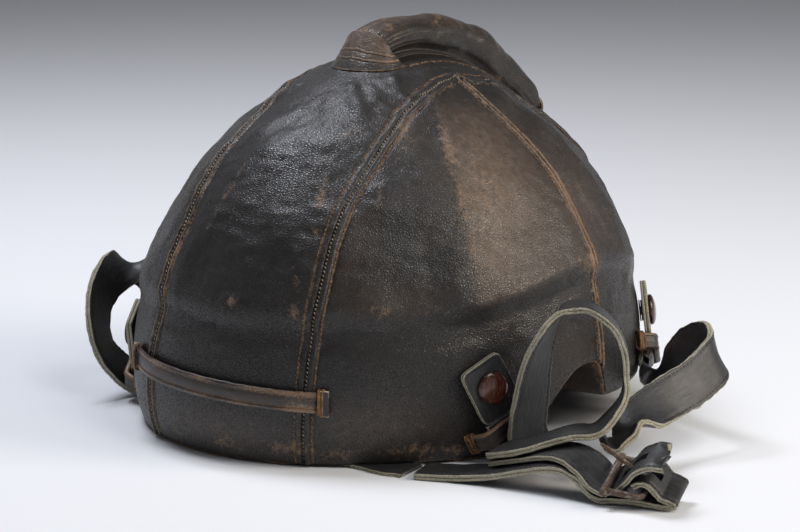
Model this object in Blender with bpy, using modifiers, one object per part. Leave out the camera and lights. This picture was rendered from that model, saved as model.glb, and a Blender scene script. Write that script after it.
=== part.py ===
"""A leather-covered flying helmet: a plated and padded shell under five sewn panels,
a stuffed crest, a strap loop at the back, four snap tabs and two forked chin straps
that meet at a buckle. Metres, +Z up, the back towards +Y, the wearer's right at -X."""
import bmesh
import bpy
from math import atan2, ceil, cos, degrees, hypot, pi, radians, sin, sqrt
from mathutils import Matrix, Vector

# Shell: half sizes outside the leather, and the crown's forward drift
SHELL_HALF_WIDTH = 0.1194
SHELL_HALF_LENGTH = 0.1387
SHELL_HEIGHT = 0.1795
CROWN_FORWARD = 0.0037
STAR_CENTRE_SHARE = 0.25
PROFILE_SHARES = [(-0.10, 0.930), (0.0, 0.964), (0.08, 0.993), (0.208, 0.999), (0.344, 0.971),
                  (0.479, 0.923), (0.625, 0.826), (0.750, 0.686), (0.854, 0.511), (0.938, 0.343),
                  (0.984, 0.160), (1.0, 0.0)]

# Lower edge: azimuth from the back towards the ear, share of the ear arch, share of the temple lift
EAR_ARCH_HEIGHT = 0.0365
TEMPLE_LIFT = 0.0165
EDGE_LINE_SHARES = [(0, 0, 0), (30, 0, 0), (60, 0, 0), (70, 0.02, 0), (75, 0.12, 0), (80, 0.34, 0),
                    (82, 0.51, 0), (85.6, 0.74, 0), (88.5, 0.89, 0), (91.5, 0.98, 0), (95.2, 1.0, 0),
                    (97.6, 0.97, 0), (99.2, 0.83, 0), (99.9, 0.60, 0.1), (101.2, 0.02, 1.05),
                    (104, 0, 1.03), (110, 0, 0.98), (118, 0, 0.97), (130, 0, 0.85), (144, 0, 0.5),
                    (157, 0, 0.12), (167, 0, 0), (180, 0, 0)]
EDGE_STRIP_HEIGHT = 0.0040
EAR_STOPS = (62, 68, 73, 77.5, 81.5, 85, 88.5, 92.5, 96, 98.2, 99.3, 100.4, 102, 106)
SEAT_GAP = 0.0003
EAR_START_AZIMUTH = 68.0
EAR_STOP_AZIMUTH = 106.0

# Layers of the wall, from outside in
LEATHER = 0.0016
PLATE = 0.0012
FELT = 0.0165
LINING = 0.0012
LAYER_GAP = 0.0007
PADDING_GAP = 0.0013
LINING_GAP = 0.0016
SEAM_GAP = 0.0005
PLATE_JOINT = 0.0030
PANEL_STEP = 0.0150
PLATE_STEP = 0.0190
FELT_STEP = 0.0280

# Seams of the panels: height share and azimuth from the back
REAR_SEAM_SHARES = [(0.0, 28.5), (0.2, 27.5), (0.34, 28.3), (0.53, 30.5), (0.63, 32.6), (0.72, 35.9),
                    (0.81, 42.5), (0.88, 51.0), (0.925, 68.0), (0.947, 98.0)]
FRONT_SEAM_SHARES = [(0.0, 153.5), (0.34, 153.0), (0.53, 151.0), (0.63, 149.0), (0.72, 146.0), (0.81, 141.0),
                     (0.88, 134.0), (0.925, 120.0), (0.947, 98.0)]
SIDE_SEAM_AZIMUTH = 98.5
PANEL_TOP_SHARE = 0.936
JUNCTION_SHARE = 0.945

# Plates and padding: where the rings part
LOWER_PLATE_TOP_SHARE = 0.405
UPPER_PLATE_TOP_SHARE = 0.835
PLATE_CORNER_AZIMUTH = 65.0
PLATE_FRONT_AZIMUTH = 118.0
FELT_TOP_SHARE = 0.62
SWEATBAND_TOP_SHARE = 0.30

# Crest: angles over the crown, towards the back positive, and heights above the leather
CREST_REAR_ANGLE = 17.0
CREST_FRONT_ANGLE = -60.0
CREST_HALF_WIDTH = 0.0138
CREST_HEIGHT = 0.0235
CREST_SKIN = 0.0015
CREST_HEIGHT_SHARES = [(17.0, 0.26), (15.5, 0.44), (12.0, 0.61), (5.0, 0.70), (-8.0, 0.80), (-22.0, 0.94),
                       (-34.0, 1.0), (-44.0, 0.96), (-51.0, 0.86), (-56.0, 0.66), (-58.5, 0.46),
                       (-60.0, 0.26)]
CREST_WIDTH_SHARES = [(17.0, 0.66), (15.5, 0.84), (12.0, 1.0), (5.0, 1.0), (-51.0, 1.0), (-56.0, 0.92),
                      (-58.5, 0.80), (-60.0, 0.62)]
CREST_BASE_WIDTH = 0.0250
CREST_BASE_INSET_ANGLE = 5.0
CREST_BASE_THICKNESS = 0.0012
CREST_BASE_CLEARANCE = 0.0004
COLLAR_OVERLAP_ANGLE = 6.0
COLLAR_REACH_ANGLE = 7.8
COLLAR_BASE_SPREAD = 0.0036
COLLAR_START_ANGLE = -12.0
COLLAR_STOP_ANGLE = 192.0
COLLAR_SKIN = 0.0012
COLLAR_CLEARANCE = 0.0012
CREST_START_ANGLE = -55.0
CREST_STOP_ANGLE = 235.0

# Strap loop at the back
BACK_LOOP_WIDTH = 0.0100
BACK_LOOP_THICKNESS = 0.0019
BACK_LOOP_BOW = 0.0016
BACK_LOOP_LEFT_AZIMUTH = -23.5
BACK_LOOP_RIGHT_AZIMUTH = 31.0
BACK_LOOP_LEFT_HEIGHT = 0.0385
BACK_LOOP_RIGHT_HEIGHT = 0.0325
BACK_LOOP_END_LENGTH = 0.0060
BACK_LOOP_END_WIDTH = 0.0120
BACK_LOOP_END_THICKNESS = 0.0034

# Snaps: where each stud sits, and how far its tab leans
REAR_SNAP_AZIMUTH = 66.4
REAR_SNAP_HEIGHT = 0.0363
FRONT_SNAP_AZIMUTH = 131.0
FRONT_SNAP_HEIGHT = 0.0460
REAR_LEFT_SNAP_AZIMUTH = 54.0
TAB_LEAN = 27.0
STUD_FLANGE_RADIUS = 0.0055
STUD_FLANGE_THICKNESS = 0.0006
STUD_POST_RADIUS = 0.0022
SOCKET_RADIUS = 0.0054
SOCKET_BORE_RADIUS = 0.0027
SHAFT_RADIUS = 0.0036
CAP_RADIUS = 0.0078
CAP_HEIGHT = 0.0034
CAP_RIM_HEIGHT = 0.0010
TAB_HOLE_CLEARANCE = 0.0003
TAB_LENGTH = 0.0285
TAB_WIDTH = 0.0225
TAB_CORNER = 0.0020
TAB_LIFT = 0.0021
STRAP_THICKNESS = 0.0030
STRAP_WIDTH = 0.0215
HINGE_REACH = 0.0135
HINGE_GAP = 0.0005

# Loops that hold the straps beside each snap
LOOP_WIDTH = 0.0085
LOOP_LENGTH = 0.0400
LOOP_THICKNESS = 0.0024
LOOP_OFFSET = 0.0205
LOOP_GAP = 0.0005
LOOP_CROWN_SHARE = 0.66

# Buckle
BUCKLE_INNER_WIDTH = 0.0236
BUCKLE_LENGTH = 0.0170
BUCKLE_WIRE = 0.0030
BUCKLE_BAR_OVERHANG = 0.0012
PRONG_LENGTH = 0.0275
PRONG_WIRE = 0.0024
PRONG_EYE_WIRE = 0.0013
PRONG_EYE_GAP = 0.0003
PRONG_LIFT = 33.0
UNDER_STRAP_THICKNESS = 0.0016
EDGE_BUMP_HEIGHT = 0.0023
EDGE_BUMP_HALF_WIDTH = 0.0300
EDGE_BUMP_LENGTH = 0.1500
BUMP_PLACE_SHARES = (-0.62, 0.676)
BUCKLE_PLACE_SHARES = (-1.757, 0.455, 0.0595)
BUCKLE_BAR_HEADING = -70.0
BUCKLE_BAR_RISE = 18.0
BUCKLE_TILT = 6.5

# Strap routes: shares of the half width, half length and height, then the heading
# and the rise, in degrees, of the line across the strap
REAR_RIGHT_ROUTE_SHARES = [
    (-1.004, 0.307, 0.055, -109, 26), (-1.041, 0.299, 0.043, -108, 24),
    (-1.065, 0.337, 0.095, -106, 20), (-1.080, 0.338, 0.165, -100, 10),
    (-1.096, 0.322, 0.272, -88, 2), (-1.118, 0.301, 0.339, -76, 0), (-1.151, 0.255, 0.403, -62, 0),
    (-1.204, 0.217, 0.419, -50, 0), (-1.267, 0.192, 0.407, -49, 0), (-1.342, 0.176, 0.368, -50, 0),
    (-1.395, 0.182, 0.314, -52, 0), (-1.426, 0.205, 0.260, -54, 0), (-1.442, 0.238, 0.212, -54, 0),
    (-1.437, 0.295, 0.168, -52, 0), (-1.411, 0.355, 0.135, -52, 0), (-1.337, 0.415, 0.127, -57, 0)]
FRONT_RIGHT_ROUTE_SHARES = [
    (-0.843, -0.588, 0.110, -53, -25),
    (-0.884, -0.598, 0.096, -53, -20), (-0.928, -0.590, 0.122, -52, -10), (-0.962, -0.570, 0.178, -52, 4),
    (-1.010, -0.541, 0.245, -52, 16), (-1.177, -0.486, 0.314, -60, 24), (-1.293, -0.429, 0.331, -66, 26),
    (-1.363, -0.379, 0.324, -66, 28), (-1.401, -0.290, 0.301, -62, 24), (-1.397, -0.165, 0.266, -58, 18),
    (-1.392, -0.059, 0.235, -54, 12), (-1.381, 0.033, 0.204, -50, 4), (-1.387, 0.100, 0.189, -48, 0),
    (-1.408, 0.151, 0.164, -48, 0), (-1.432, 0.193, 0.129, -48, 0), (-1.440, 0.235, 0.100, -48, 0),
    (-1.419, 0.276, 0.083, -48, 0), (-1.398, 0.296, 0.094, -48, 0)]
REAR_LEFT_ROUTE_SHARES = [
    (0.897, 0.520, 0.055, -58, 26),
    (0.937, 0.525, 0.043, -58, 24), (0.966, 0.580, 0.080, -60, 20), (0.990, 0.640, 0.145, -62, 10),
    (1.028, 0.635, 0.225, -70, 0), (1.056, 0.590, 0.295, -80, 0), (1.078, 0.502, 0.340, -90, -4),
    (1.096, 0.382, 0.345, -96, -6), (1.115, 0.270, 0.300, -100, -4), (1.135, 0.170, 0.225, -100, 0),
    (1.140, 0.090, 0.140, -98, 4), (1.125, 0.025, 0.072, -96, 4), (1.085, -0.020, 0.038, -94, 2)]
FRONT_LEFT_ROUTE_SHARES = [
    (0.843, -0.588, 0.110, -127, -25),
    (0.884, -0.598, 0.096, -127, -20), (0.935, -0.590, 0.120, -124, -10), (0.985, -0.550, 0.165, -115, 0),
    (1.050, -0.470, 0.195, -100, 4), (1.110, -0.370, 0.180, -92, 4), (1.140, -0.270, 0.125, -88, 2),
    (1.130, -0.190, 0.075, -86, 0), (1.080, -0.145, 0.048, -88, 0)]
CHIN_LEFT_ROUTE_SHARES = [
    (1.060, -0.030, 0.0048, -90, 0), (0.900, -0.045, 0.0048, -92, 0), (0.650, -0.010, 0.0048, -100, 0),
    (0.350, 0.150, 0.0048, -125, 0), (0.100, 0.370, 0.0048, -128, 0), (-0.150, 0.550, 0.0048, -122, 0),
    (-0.420, 0.665, 0.0048, -108, 0), (-0.700, 0.690, 0.0048, -98, 0), (-0.805, 0.672, 0.0048, -94, 0)]
BUCKLE_ROUTE_SHARES = [
    (-0.850, 0.664, 0.0095, -96, 0), (-0.915, 0.642, 0.0100, -88, 0), (-0.994, 0.610, 0.013, -74, 0),
    (-1.121, 0.572, 0.026, -64, 0), (-1.243, 0.543, 0.049, -63, 0), (-1.340, 0.524, 0.068, -63, 2),
    (-1.424, 0.511, 0.074, -66, 6), (-1.500, 0.505, 0.062, -68, 12)]
# The tongue strap lies on the buckle strap and the rear strap's end lies on it:
# row of the buckle strap's route, share of the strap width that they sit off its middle
CHIN_RIGHT_SHARES = [(3, 0.46), (4, 0.36), (5, 0.25), (6, 0.13), (7, 0.05)]
REAR_END_SHARES = [(4, 0.36), (3, 0.46)]
STACK_GAP = 0.0011
TONGUE_REACH_SHARES = [(1.30, -0.205), (1.00, -0.213), (0.70, -0.04), (0.47, 0.26), (0.26, 0.58),
                       (-0.16, 0.82), (-0.62, 0.88), (-1.00, 0.76)]
BUCKLE_FOLD_SHARES = [(1.30, -0.450), (1.00, -0.435), (0.66, -0.375), (0.24, -0.300), (-0.24, -0.280),
                      (-0.58, -0.215), (-0.78, -0.010), (-0.62, 0.190), (-0.30, 0.275), (-0.05, 0.290),
                      (0.17, 0.240), (0.30, 0.150)]
TONGUE_THICKNESS = 0.0024
TONGUE_SLOT_REACH_SHARES = (0.10, 0.72)
FOLD_SLOT_REACH_SHARES = (0.0, 0.60)
PRONG_SLOT_WIDTH = 0.0046
ROUTE_STEP = 0.0060

# Smoothness
ROUND_STEPS = 20
CAP_STEPS = 24
ANGLE_STEP = 0.001

BLACK_LEATHER = (0.020, 0.017, 0.015)
BROWN_LEATHER = (0.060, 0.035, 0.022)
GREY_LEATHER = (0.070, 0.068, 0.064)
STEEL = (0.30, 0.30, 0.31)
RUST = (0.085, 0.048, 0.034)
ENAMEL = (0.105, 0.022, 0.016)
FELT_GREEN = (0.045, 0.050, 0.036)

for old in list(bpy.data.objects):
    bpy.data.objects.remove(old, do_unlink=True)
parts = bpy.data.collections.new("flying_helmet")
cutters = bpy.data.collections.new("cutters")
bpy.context.scene.collection.children.link(parts)
bpy.context.scene.collection.children.link(cutters)
materials = {}


def material(name, colour, roughness, metallic=0.0):
    """One Principled material per finish."""
    if name not in materials:
        made = bpy.data.materials.new(name)
        made.use_nodes = True
        shader = made.node_tree.nodes["Principled BSDF"]
        shader.inputs["Base Color"].default_value = (*colour, 1.0)
        shader.inputs["Roughness"].default_value = roughness
        shader.inputs["Metallic"].default_value = metallic
        materials[name] = made
    return materials[name]


PANEL_LEATHER = ("panel_leather", BLACK_LEATHER, 0.5)
WORN_LEATHER = ("worn_leather", BROWN_LEATHER, 0.6)
STRAP_LEATHER = ("strap_leather", GREY_LEATHER, 0.6)
PLATE_STEEL = ("plate_steel", STEEL, 0.45, 0.9)
RUSTY_STEEL = ("rusty_steel", RUST, 0.7, 0.6)
SNAP_ENAMEL = ("snap_enamel", ENAMEL, 0.3)
FELT_PAD = ("felt_pad", FELT_GREEN, 0.95)


def put(name, bm, finish, matrix=None):
    """Turns a bmesh into a part with its own copy of the finish."""
    mesh = bpy.data.meshes.new(name)
    bm.to_mesh(mesh)
    bm.free()
    made = bpy.data.objects.new(name, mesh)
    if matrix is not None:
        made.matrix_world = matrix
    mesh.materials.append(material(*finish))
    mesh.shade_smooth()
    mesh.set_sharp_from_angle(angle=radians(35))
    parts.objects.link(made)
    return made


def as_cutter(thing):
    """Hides a helper shape and keeps it out of the parts."""
    for holder in list(thing.users_collection):
        holder.objects.unlink(thing)
    cutters.objects.link(thing)
    thing.hide_render = True
    thing.display_type = "WIRE"
    return thing


def cut(thing, tool, operation="DIFFERENCE"):
    change = thing.modifiers.new("cut", "BOOLEAN")
    change.operation = operation
    change.solver = "EXACT"
    change.object = tool


def in_table(table, key, column=1):
    """Straight reading between the rows of a table that rises or falls in its first column."""
    rows = sorted(table)
    if key <= rows[0][0]:
        return rows[0][column]
    for low, high in zip(rows, rows[1:]):
        if key <= high[0]:
            share = (key - low[0]) / (high[0] - low[0])
            return low[column] + share * (high[column] - low[column])
    return rows[-1][column]


def smooth_path(points, count):
    """A Catmull-Rom line through the points, read at even steps of the point number."""
    ends = [points[0] * 2 - points[1]] + points + [points[-1] * 2 - points[-2]]
    made = []
    for step in range(count + 1):
        place = step / count * (len(points) - 1)
        index = min(int(place), len(points) - 2)
        t = place - index
        a, b, c, d = ends[index:index + 4]
        made.append(0.5 * (2 * b + (c - a) * t + (2 * a - 5 * b + 4 * c - d) * t * t
                           + (3 * b - a - 3 * c + d) * t * t * t))
    return made


# The profile seen from the star centre: angle above the level and radius
profile_polar = sorted((atan2(height - STAR_CENTRE_SHARE, radius), hypot(height - STAR_CENTRE_SHARE, radius))
                       for height, radius in PROFILE_SHARES)
mirrored_turn = [(pi - angle, radius) for angle, radius in reversed(profile_polar[-4:-1])]
profile_polar = profile_polar + mirrored_turn


def polar_radius(angle):
    """Smooth reading of the profile's radius at an angle above the level."""
    rows = profile_polar
    index = 0
    while index < len(rows) - 2 and angle > rows[index + 1][0]:
        index += 1
    before = rows[max(index - 1, 0)]
    low = rows[index]
    high = rows[index + 1]
    after = rows[min(index + 2, len(rows) - 1)]
    span = high[0] - low[0]
    slope_low = (high[1] - before[1]) / (high[0] - before[0])
    slope_high = (after[1] - low[1]) / (after[0] - low[0])
    t = (angle - low[0]) / span
    return ((2 * t ** 3 - 3 * t ** 2 + 1) * low[1] + (t ** 3 - 2 * t ** 2 + t) * span * slope_low
            + (3 * t ** 2 - 2 * t ** 3) * high[1] + (t ** 3 - t ** 2) * span * slope_high)


def on_dome(direction, depth=0.0):
    """The place on the leather's outer face along a direction from the star centre, or
    deeper in the wall: level inwards below the star centre, towards it above."""
    flat = hypot(direction.x, direction.y)
    angle = atan2(direction.z, flat)
    radius = polar_radius(angle)
    share = radius * cos(angle) / max(flat, ANGLE_STEP ** 3)
    height = STAR_CENTRE_SHARE + radius * sin(angle)
    place = Vector((SHELL_HALF_WIDTH * share * direction.x,
                    SHELL_HALF_LENGTH * share * direction.y - CROWN_FORWARD * height * height,
                    SHELL_HEIGHT * height))
    inward = Vector((-place.x, -place.y, min(0.0, SHELL_HEIGHT * STAR_CENTRE_SHARE - place.z)))
    return place + inward.normalized() * depth


def direction_at(azimuth, height_share):
    """Direction, from the star centre, of the point at an azimuth and a height."""
    low = radians(-60)
    high = radians(90)
    for _ in range(40):
        middle = 0.5 * (low + high)
        if STAR_CENTRE_SHARE + polar_radius(middle) * sin(middle) < height_share:
            low = middle
        else:
            high = middle
    turn = radians(azimuth)
    return Vector((-sin(turn) * cos(low), cos(turn) * cos(low), sin(low)))


def dome_point(azimuth, height, depth=0.0):
    return on_dome(direction_at(azimuth, height / SHELL_HEIGHT), depth)


def outward_at(azimuth, height):
    """Unit vector square to the leather at a place on it."""
    along = dome_point(azimuth + 1, height) - dome_point(azimuth - 1, height)
    up = dome_point(azimuth, height + SEAM_GAP) - dome_point(azimuth, height - SEAM_GAP)
    return along.cross(up).normalized()


# Lower edge of the wall as a line of distance round the shell and height
EDGE_SPAN_PER_DEGREE = (SHELL_HALF_WIDTH + SHELL_HALF_LENGTH) * pi / 360
edge_nodes = [Vector((azimuth * EDGE_SPAN_PER_DEGREE, EAR_ARCH_HEIGHT * arch + TEMPLE_LIFT * temple))
              for azimuth, arch, temple in EDGE_LINE_SHARES]
edge_line = [Vector((p.x, max(p.y, 0.0))) for p in smooth_path(edge_nodes, 8 * len(edge_nodes))]


def edge_height(azimuth, margin):
    """Height of the wall's lower edge, or of the line that keeps a margin above it."""
    wrapped = abs((azimuth + 180) % 360 - 180)
    reach = wrapped * EDGE_SPAN_PER_DEGREE
    best = 0.0
    for low, high in zip(edge_line, edge_line[1:]):
        for share in (0.0, 0.25, 0.5, 0.75):
            point = low.lerp(high, share)
            aside = abs(reach - point.x)
            if margin and aside < margin:
                best = max(best, point.y + sqrt(margin * margin - aside * aside))
            if low.x <= reach <= high.x:
                across = (reach - low.x) / max(high.x - low.x, ANGLE_STEP ** 3)
                best = max(best, low.y + across * (high.y - low.y) + margin)
    return best


def seam_azimuth(table, height_share):
    return in_table(table, height_share)


def layer(name, rows, outer, inner, finish, closed=False, crown=False):
    """A wall layer between two depths over a grid of directions: rows run upwards,
    columns from the wearer's left to the right at the back."""
    bm = bmesh.new()
    faces_of = []
    for depth in (outer, inner):
        faces_of.append([[bm.verts.new(on_dome(direction, depth)) for direction in row] for row in rows])
    crowns = []
    if crown:
        crowns = [bm.verts.new(on_dome(Vector((0, 0, 1)), depth)) for depth in (outer, inner)]
    columns = len(rows[0])
    last = columns if closed else columns - 1
    for side, grid in enumerate(faces_of):
        for low, high in zip(grid, grid[1:]):
            for column in range(last):
                after = (column + 1) % columns
                ring = [low[column], low[after], high[after], high[column]]
                bm.faces.new(ring if side == 0 else ring[::-1])
        if crown:
            for column in range(last):
                ring = [grid[-1][column], grid[-1][(column + 1) % columns], crowns[side]]
                bm.faces.new(ring if side == 0 else ring[::-1])
    out, into = faces_of
    for column in range(last):
        after = (column + 1) % columns
        bm.faces.new([out[0][after], out[0][column], into[0][column], into[0][after]])
        if not crown:
            bm.faces.new([out[-1][column], out[-1][after], into[-1][after], into[-1][column]])
    if not closed:
        for low in range(len(rows) - 1):
            bm.faces.new([out[low][0], out[low + 1][0], into[low + 1][0], into[low][0]])
            bm.faces.new([out[low + 1][-1], out[low][-1], into[low][-1], into[low + 1][-1]])
    bmesh.ops.recalc_face_normals(bm, faces=bm.faces)
    return put(name, bm, finish)


def shares(count):
    return [step / count for step in range(count + 1)]


def edge_columns(start, stop, step):
    """Azimuths between two limits: shared stops round the ears, even steps between them."""
    anchors = [turn + side * stop_azimuth
               for turn in (0, 360) for side in (-1, 1) for stop_azimuth in EAR_STOPS]
    anchors = sorted([start, stop] + [azimuth for azimuth in anchors if start + 1 < azimuth < stop - 1])
    span = step / EDGE_SPAN_PER_DEGREE
    stops = [start]
    for low, high in zip(anchors, anchors[1:]):
        count = max(1, ceil((high - low) / span - 0.2))
        stops += [low + (high - low) * share for share in shares(count)[1:]]
    return stops


def even_shares(azimuth_at, low, high, step):
    """Shares of a rise, from one height share to another, that part even lengths of the wall."""
    fine = shares(60)
    heights = [low + (high - low) * sin(share * pi / 2) for share in fine]
    places = [on_dome(direction_at(azimuth_at(height), height)) for height in heights]
    lengths = [0.0]
    for before, after in zip(places, places[1:]):
        lengths.append(lengths[-1] + (after - before).length)
    table = [(length, sin(share * pi / 2)) for length, share in zip(lengths, fine)]
    return [in_table(table, share * lengths[-1]) for share in shares(max(1, ceil(lengths[-1] / step)))]


def wall_block(name, start, stop, bottom, top, outer, inner, finish, step, closed=False, crown=False):
    """A layer between two azimuths, from a bottom to a top, each a height in metres by azimuth."""
    azimuths = edge_columns(start, stop, step)
    if crown:
        azimuths = [360 * share for share in shares(ceil(360 * EDGE_SPAN_PER_DEGREE / step))]
    if closed:
        azimuths = azimuths[:-1]
    rows = []
    low = bottom(start) / SHELL_HEIGHT
    high = top(start) / SHELL_HEIGHT
    for share in even_shares(lambda height: start, low, high, step):
        rows.append([direction_at(azimuth, (bottom(azimuth) + share * (top(azimuth) - bottom(azimuth)))
                                  / SHELL_HEIGHT) for azimuth in azimuths])
    return layer(name, rows, outer, inner, finish, closed, crown)


# Sewn leather panels
layer_margin = EDGE_STRIP_HEIGHT + SEAT_GAP


def azimuth_gap(height_share):
    """Half a seam gap as an azimuth at a height."""
    radius = max(in_table(PROFILE_SHARES, height_share), PROFILE_SHARES[-3][1]) * SHELL_HALF_WIDTH
    return degrees(0.5 * SEAM_GAP / radius)


def side_panel(name, side, first_seam, second_seam):
    """A panel between two seams, each an azimuth by height share, on one side of the helmet."""
    low = first_seam(STAR_CENTRE_SHARE)
    high = second_seam(STAR_CENTRE_SHARE)
    stops = edge_columns(low, high, PANEL_STEP)
    across = [(stop - low) / (high - low) for stop in stops]
    seam = first_seam if first_seam is rear_seam else second_seam
    seam_foot = edge_height(seam(0), layer_margin) / SHELL_HEIGHT
    levels = even_shares(seam, seam_foot, PANEL_TOP_SHARE, PANEL_STEP)
    feet = []
    for share in across:
        height = 0.0
        for _ in range(4):
            azimuth = first_seam(height) + share * (second_seam(height) - first_seam(height))
            height = edge_height(azimuth, layer_margin) / SHELL_HEIGHT
        feet.append(height)
    rows = []
    for level in levels:
        row = []
        for share, foot in zip(across, feet):
            meeting = share if seam is first_seam else 1 - share
            top = PANEL_TOP_SHARE + meeting * (JUNCTION_SHARE - PANEL_TOP_SHARE)
            height = foot + (top - foot) * level
            start = first_seam(height) + azimuth_gap(height)
            stop = second_seam(height) - azimuth_gap(height)
            row.append(direction_at(side * (start + share * (stop - start)), height))
        rows.append(row if side > 0 else row[::-1])
    return layer(name, rows, 0.0, LEATHER, PANEL_LEATHER)


def rear_seam(height_share):
    return seam_azimuth(REAR_SEAM_SHARES, height_share)


def front_seam(height_share):
    return seam_azimuth(FRONT_SEAM_SHARES, height_share)


def side_seam(height_share):
    return SIDE_SEAM_AZIMUTH


for side_name, side in (("right", 1), ("left", -1)):
    side_panel("leather_panel_rear_" + side_name, side, rear_seam, side_seam)
    side_panel("leather_panel_front_" + side_name, side, side_seam, front_seam)


def centre_row(height_share, at_front):
    """One row of the centre panel, from the left seam to the right one."""
    table = FRONT_SEAM_SHARES if at_front else REAR_SEAM_SHARES
    columns = 2 * ceil(radians(REAR_SEAM_SHARES[0][1]) * SHELL_HALF_WIDTH / PANEL_STEP)
    middle_azimuth = 180.0 if at_front else 0.0
    edge = seam_azimuth(table, height_share)
    edge += azimuth_gap(height_share) if at_front else -azimuth_gap(height_share)
    fade = max(0.0, 1 - height_share / STAR_CENTRE_SHARE)
    row = []
    for share in shares(columns):
        across = 2 * share - 1
        reach = 180 - abs(across) * (180 - edge) if at_front else abs(across) * edge
        lift = edge_height(reach, layer_margin + SEAM_GAP) - edge_height(middle_azimuth, layer_margin)
        height = height_share + fade * lift / SHELL_HEIGHT
        same_height = direction_at(-reach if across < 0 else reach, height)
        rim = direction_at(edge, height)
        middle = Vector((0, rim.y * 1.12, rim.z)).normalized()
        straight = middle.lerp(rim, abs(across))
        straight.x = abs(straight.x) if across < 0 else -abs(straight.x)
        blend = min(1.0, max(0.0, (height - 0.5) / 0.34))
        blend = blend * blend * (3 - 2 * blend)
        row.append(same_height.lerp(straight.normalized(), blend))
    return row


def centre_heights(seam, middle_azimuth):
    foot = edge_height(middle_azimuth, layer_margin) / SHELL_HEIGHT
    return [foot + (PANEL_TOP_SHARE - foot) * share
            for share in even_shares(seam, foot, PANEL_TOP_SHARE, PANEL_STEP)]


centre_rows = [centre_row(height, False) for height in centre_heights(rear_seam, 0.0)]
centre_rows.append(centre_row(REAR_SEAM_SHARES[-1][0], False))
centre_rows += [centre_row(height, True) for height in centre_heights(front_seam, 180.0)[::-1]]
layer("leather_panel_centre", centre_rows, 0.0, LEATHER, PANEL_LEATHER)

# Steel plates, felt and lining under the panels
plate_out = LEATHER + LAYER_GAP
plate_in = plate_out + PLATE
felt_out = plate_in + PADDING_GAP
felt_in = felt_out + FELT
lining_out = felt_in + LINING_GAP
lining_in = lining_out + LINING
joint_azimuth = degrees(0.5 * PLATE_JOINT / SHELL_HALF_WIDTH)
joint_height = 0.5 * PLATE_JOINT


def wall_edge(azimuth):
    return edge_height(azimuth, layer_margin + 2 * SEAM_GAP)


def lower_plate_top(azimuth):
    return SHELL_HEIGHT * LOWER_PLATE_TOP_SHARE - joint_height


def upper_plate_foot(azimuth):
    return SHELL_HEIGHT * LOWER_PLATE_TOP_SHARE + joint_height


def upper_plate_top(azimuth):
    return SHELL_HEIGHT * UPPER_PLATE_TOP_SHARE - joint_height


def crown_plate_foot(azimuth):
    return SHELL_HEIGHT * UPPER_PLATE_TOP_SHARE + joint_height


def felt_ring_top(azimuth):
    return SHELL_HEIGHT * FELT_TOP_SHARE


def felt_crown_foot(azimuth):
    return SHELL_HEIGHT * FELT_TOP_SHARE + SEAT_GAP


def sweatband_top(azimuth):
    return SHELL_HEIGHT * SWEATBAND_TOP_SHARE


def lining_foot(azimuth):
    return SHELL_HEIGHT * SWEATBAND_TOP_SHARE + SEAT_GAP


def crown_top(azimuth):
    return SHELL_HEIGHT * PROFILE_SHARES[-2][0]


corner = PLATE_CORNER_AZIMUTH
brow = PLATE_FRONT_AZIMUTH
for plate_name, start, stop in (("rear", -corner, corner), ("right", corner, brow),
                                ("front", brow, 360 - brow), ("left", -brow, -corner)):
    start += joint_azimuth
    stop -= joint_azimuth
    wall_block("steel_plate_lower_" + plate_name, start, stop, wall_edge, lower_plate_top,
               plate_out, plate_in, PLATE_STEEL, PLATE_STEP)
    wall_block("steel_plate_upper_" + plate_name, start, stop, upper_plate_foot, upper_plate_top,
               plate_out, plate_in, PLATE_STEEL, PLATE_STEP)
wall_block("steel_plate_crown", 0, 360, crown_plate_foot, crown_top, plate_out, plate_in, PLATE_STEEL,
           PLATE_STEP, closed=True, crown=True)
wall_block("felt_padding_ring", 0, 360, wall_edge, felt_ring_top, felt_out, felt_in, FELT_PAD, FELT_STEP,
           closed=True)
wall_block("felt_padding_crown", 0, 360, felt_crown_foot, crown_top, felt_out, felt_in, FELT_PAD, FELT_STEP,
           closed=True, crown=True)
wall_block("leather_sweatband", 0, 360, wall_edge, sweatband_top, lining_out, lining_in, WORN_LEATHER,
           FELT_STEP, closed=True)
wall_block("lining_crown", 0, 360, lining_foot, crown_top, lining_out, lining_in, WORN_LEATHER, FELT_STEP,
           closed=True, crown=True)

# Turned and bound lower edge, in four lengths
edge_split = degrees(0.5 * SEAT_GAP / SHELL_HALF_WIDTH)


def edge_foot(azimuth):
    return edge_height(azimuth, 0.0)


def edge_top(azimuth):
    return edge_height(azimuth, EDGE_STRIP_HEIGHT)


edge_lengths = {}
for edge_name, start, stop in (("rear", -EAR_START_AZIMUTH, EAR_START_AZIMUTH),
                               ("right_ear", EAR_START_AZIMUTH, EAR_STOP_AZIMUTH),
                               ("front", EAR_STOP_AZIMUTH, 360 - EAR_STOP_AZIMUTH),
                               ("left_ear", -EAR_STOP_AZIMUTH, -EAR_START_AZIMUTH)):
    azimuths = edge_columns(start + edge_split, stop - edge_split, PANEL_STEP)
    rows = [[direction_at(azimuth, line(azimuth) / SHELL_HEIGHT) for azimuth in azimuths]
            for line in (edge_foot, edge_top)]
    edge_lengths[edge_name] = layer("edge_binding_" + edge_name, rows, -SEAT_GAP, lining_in + SEAT_GAP,
                                    WORN_LEATHER)

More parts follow.
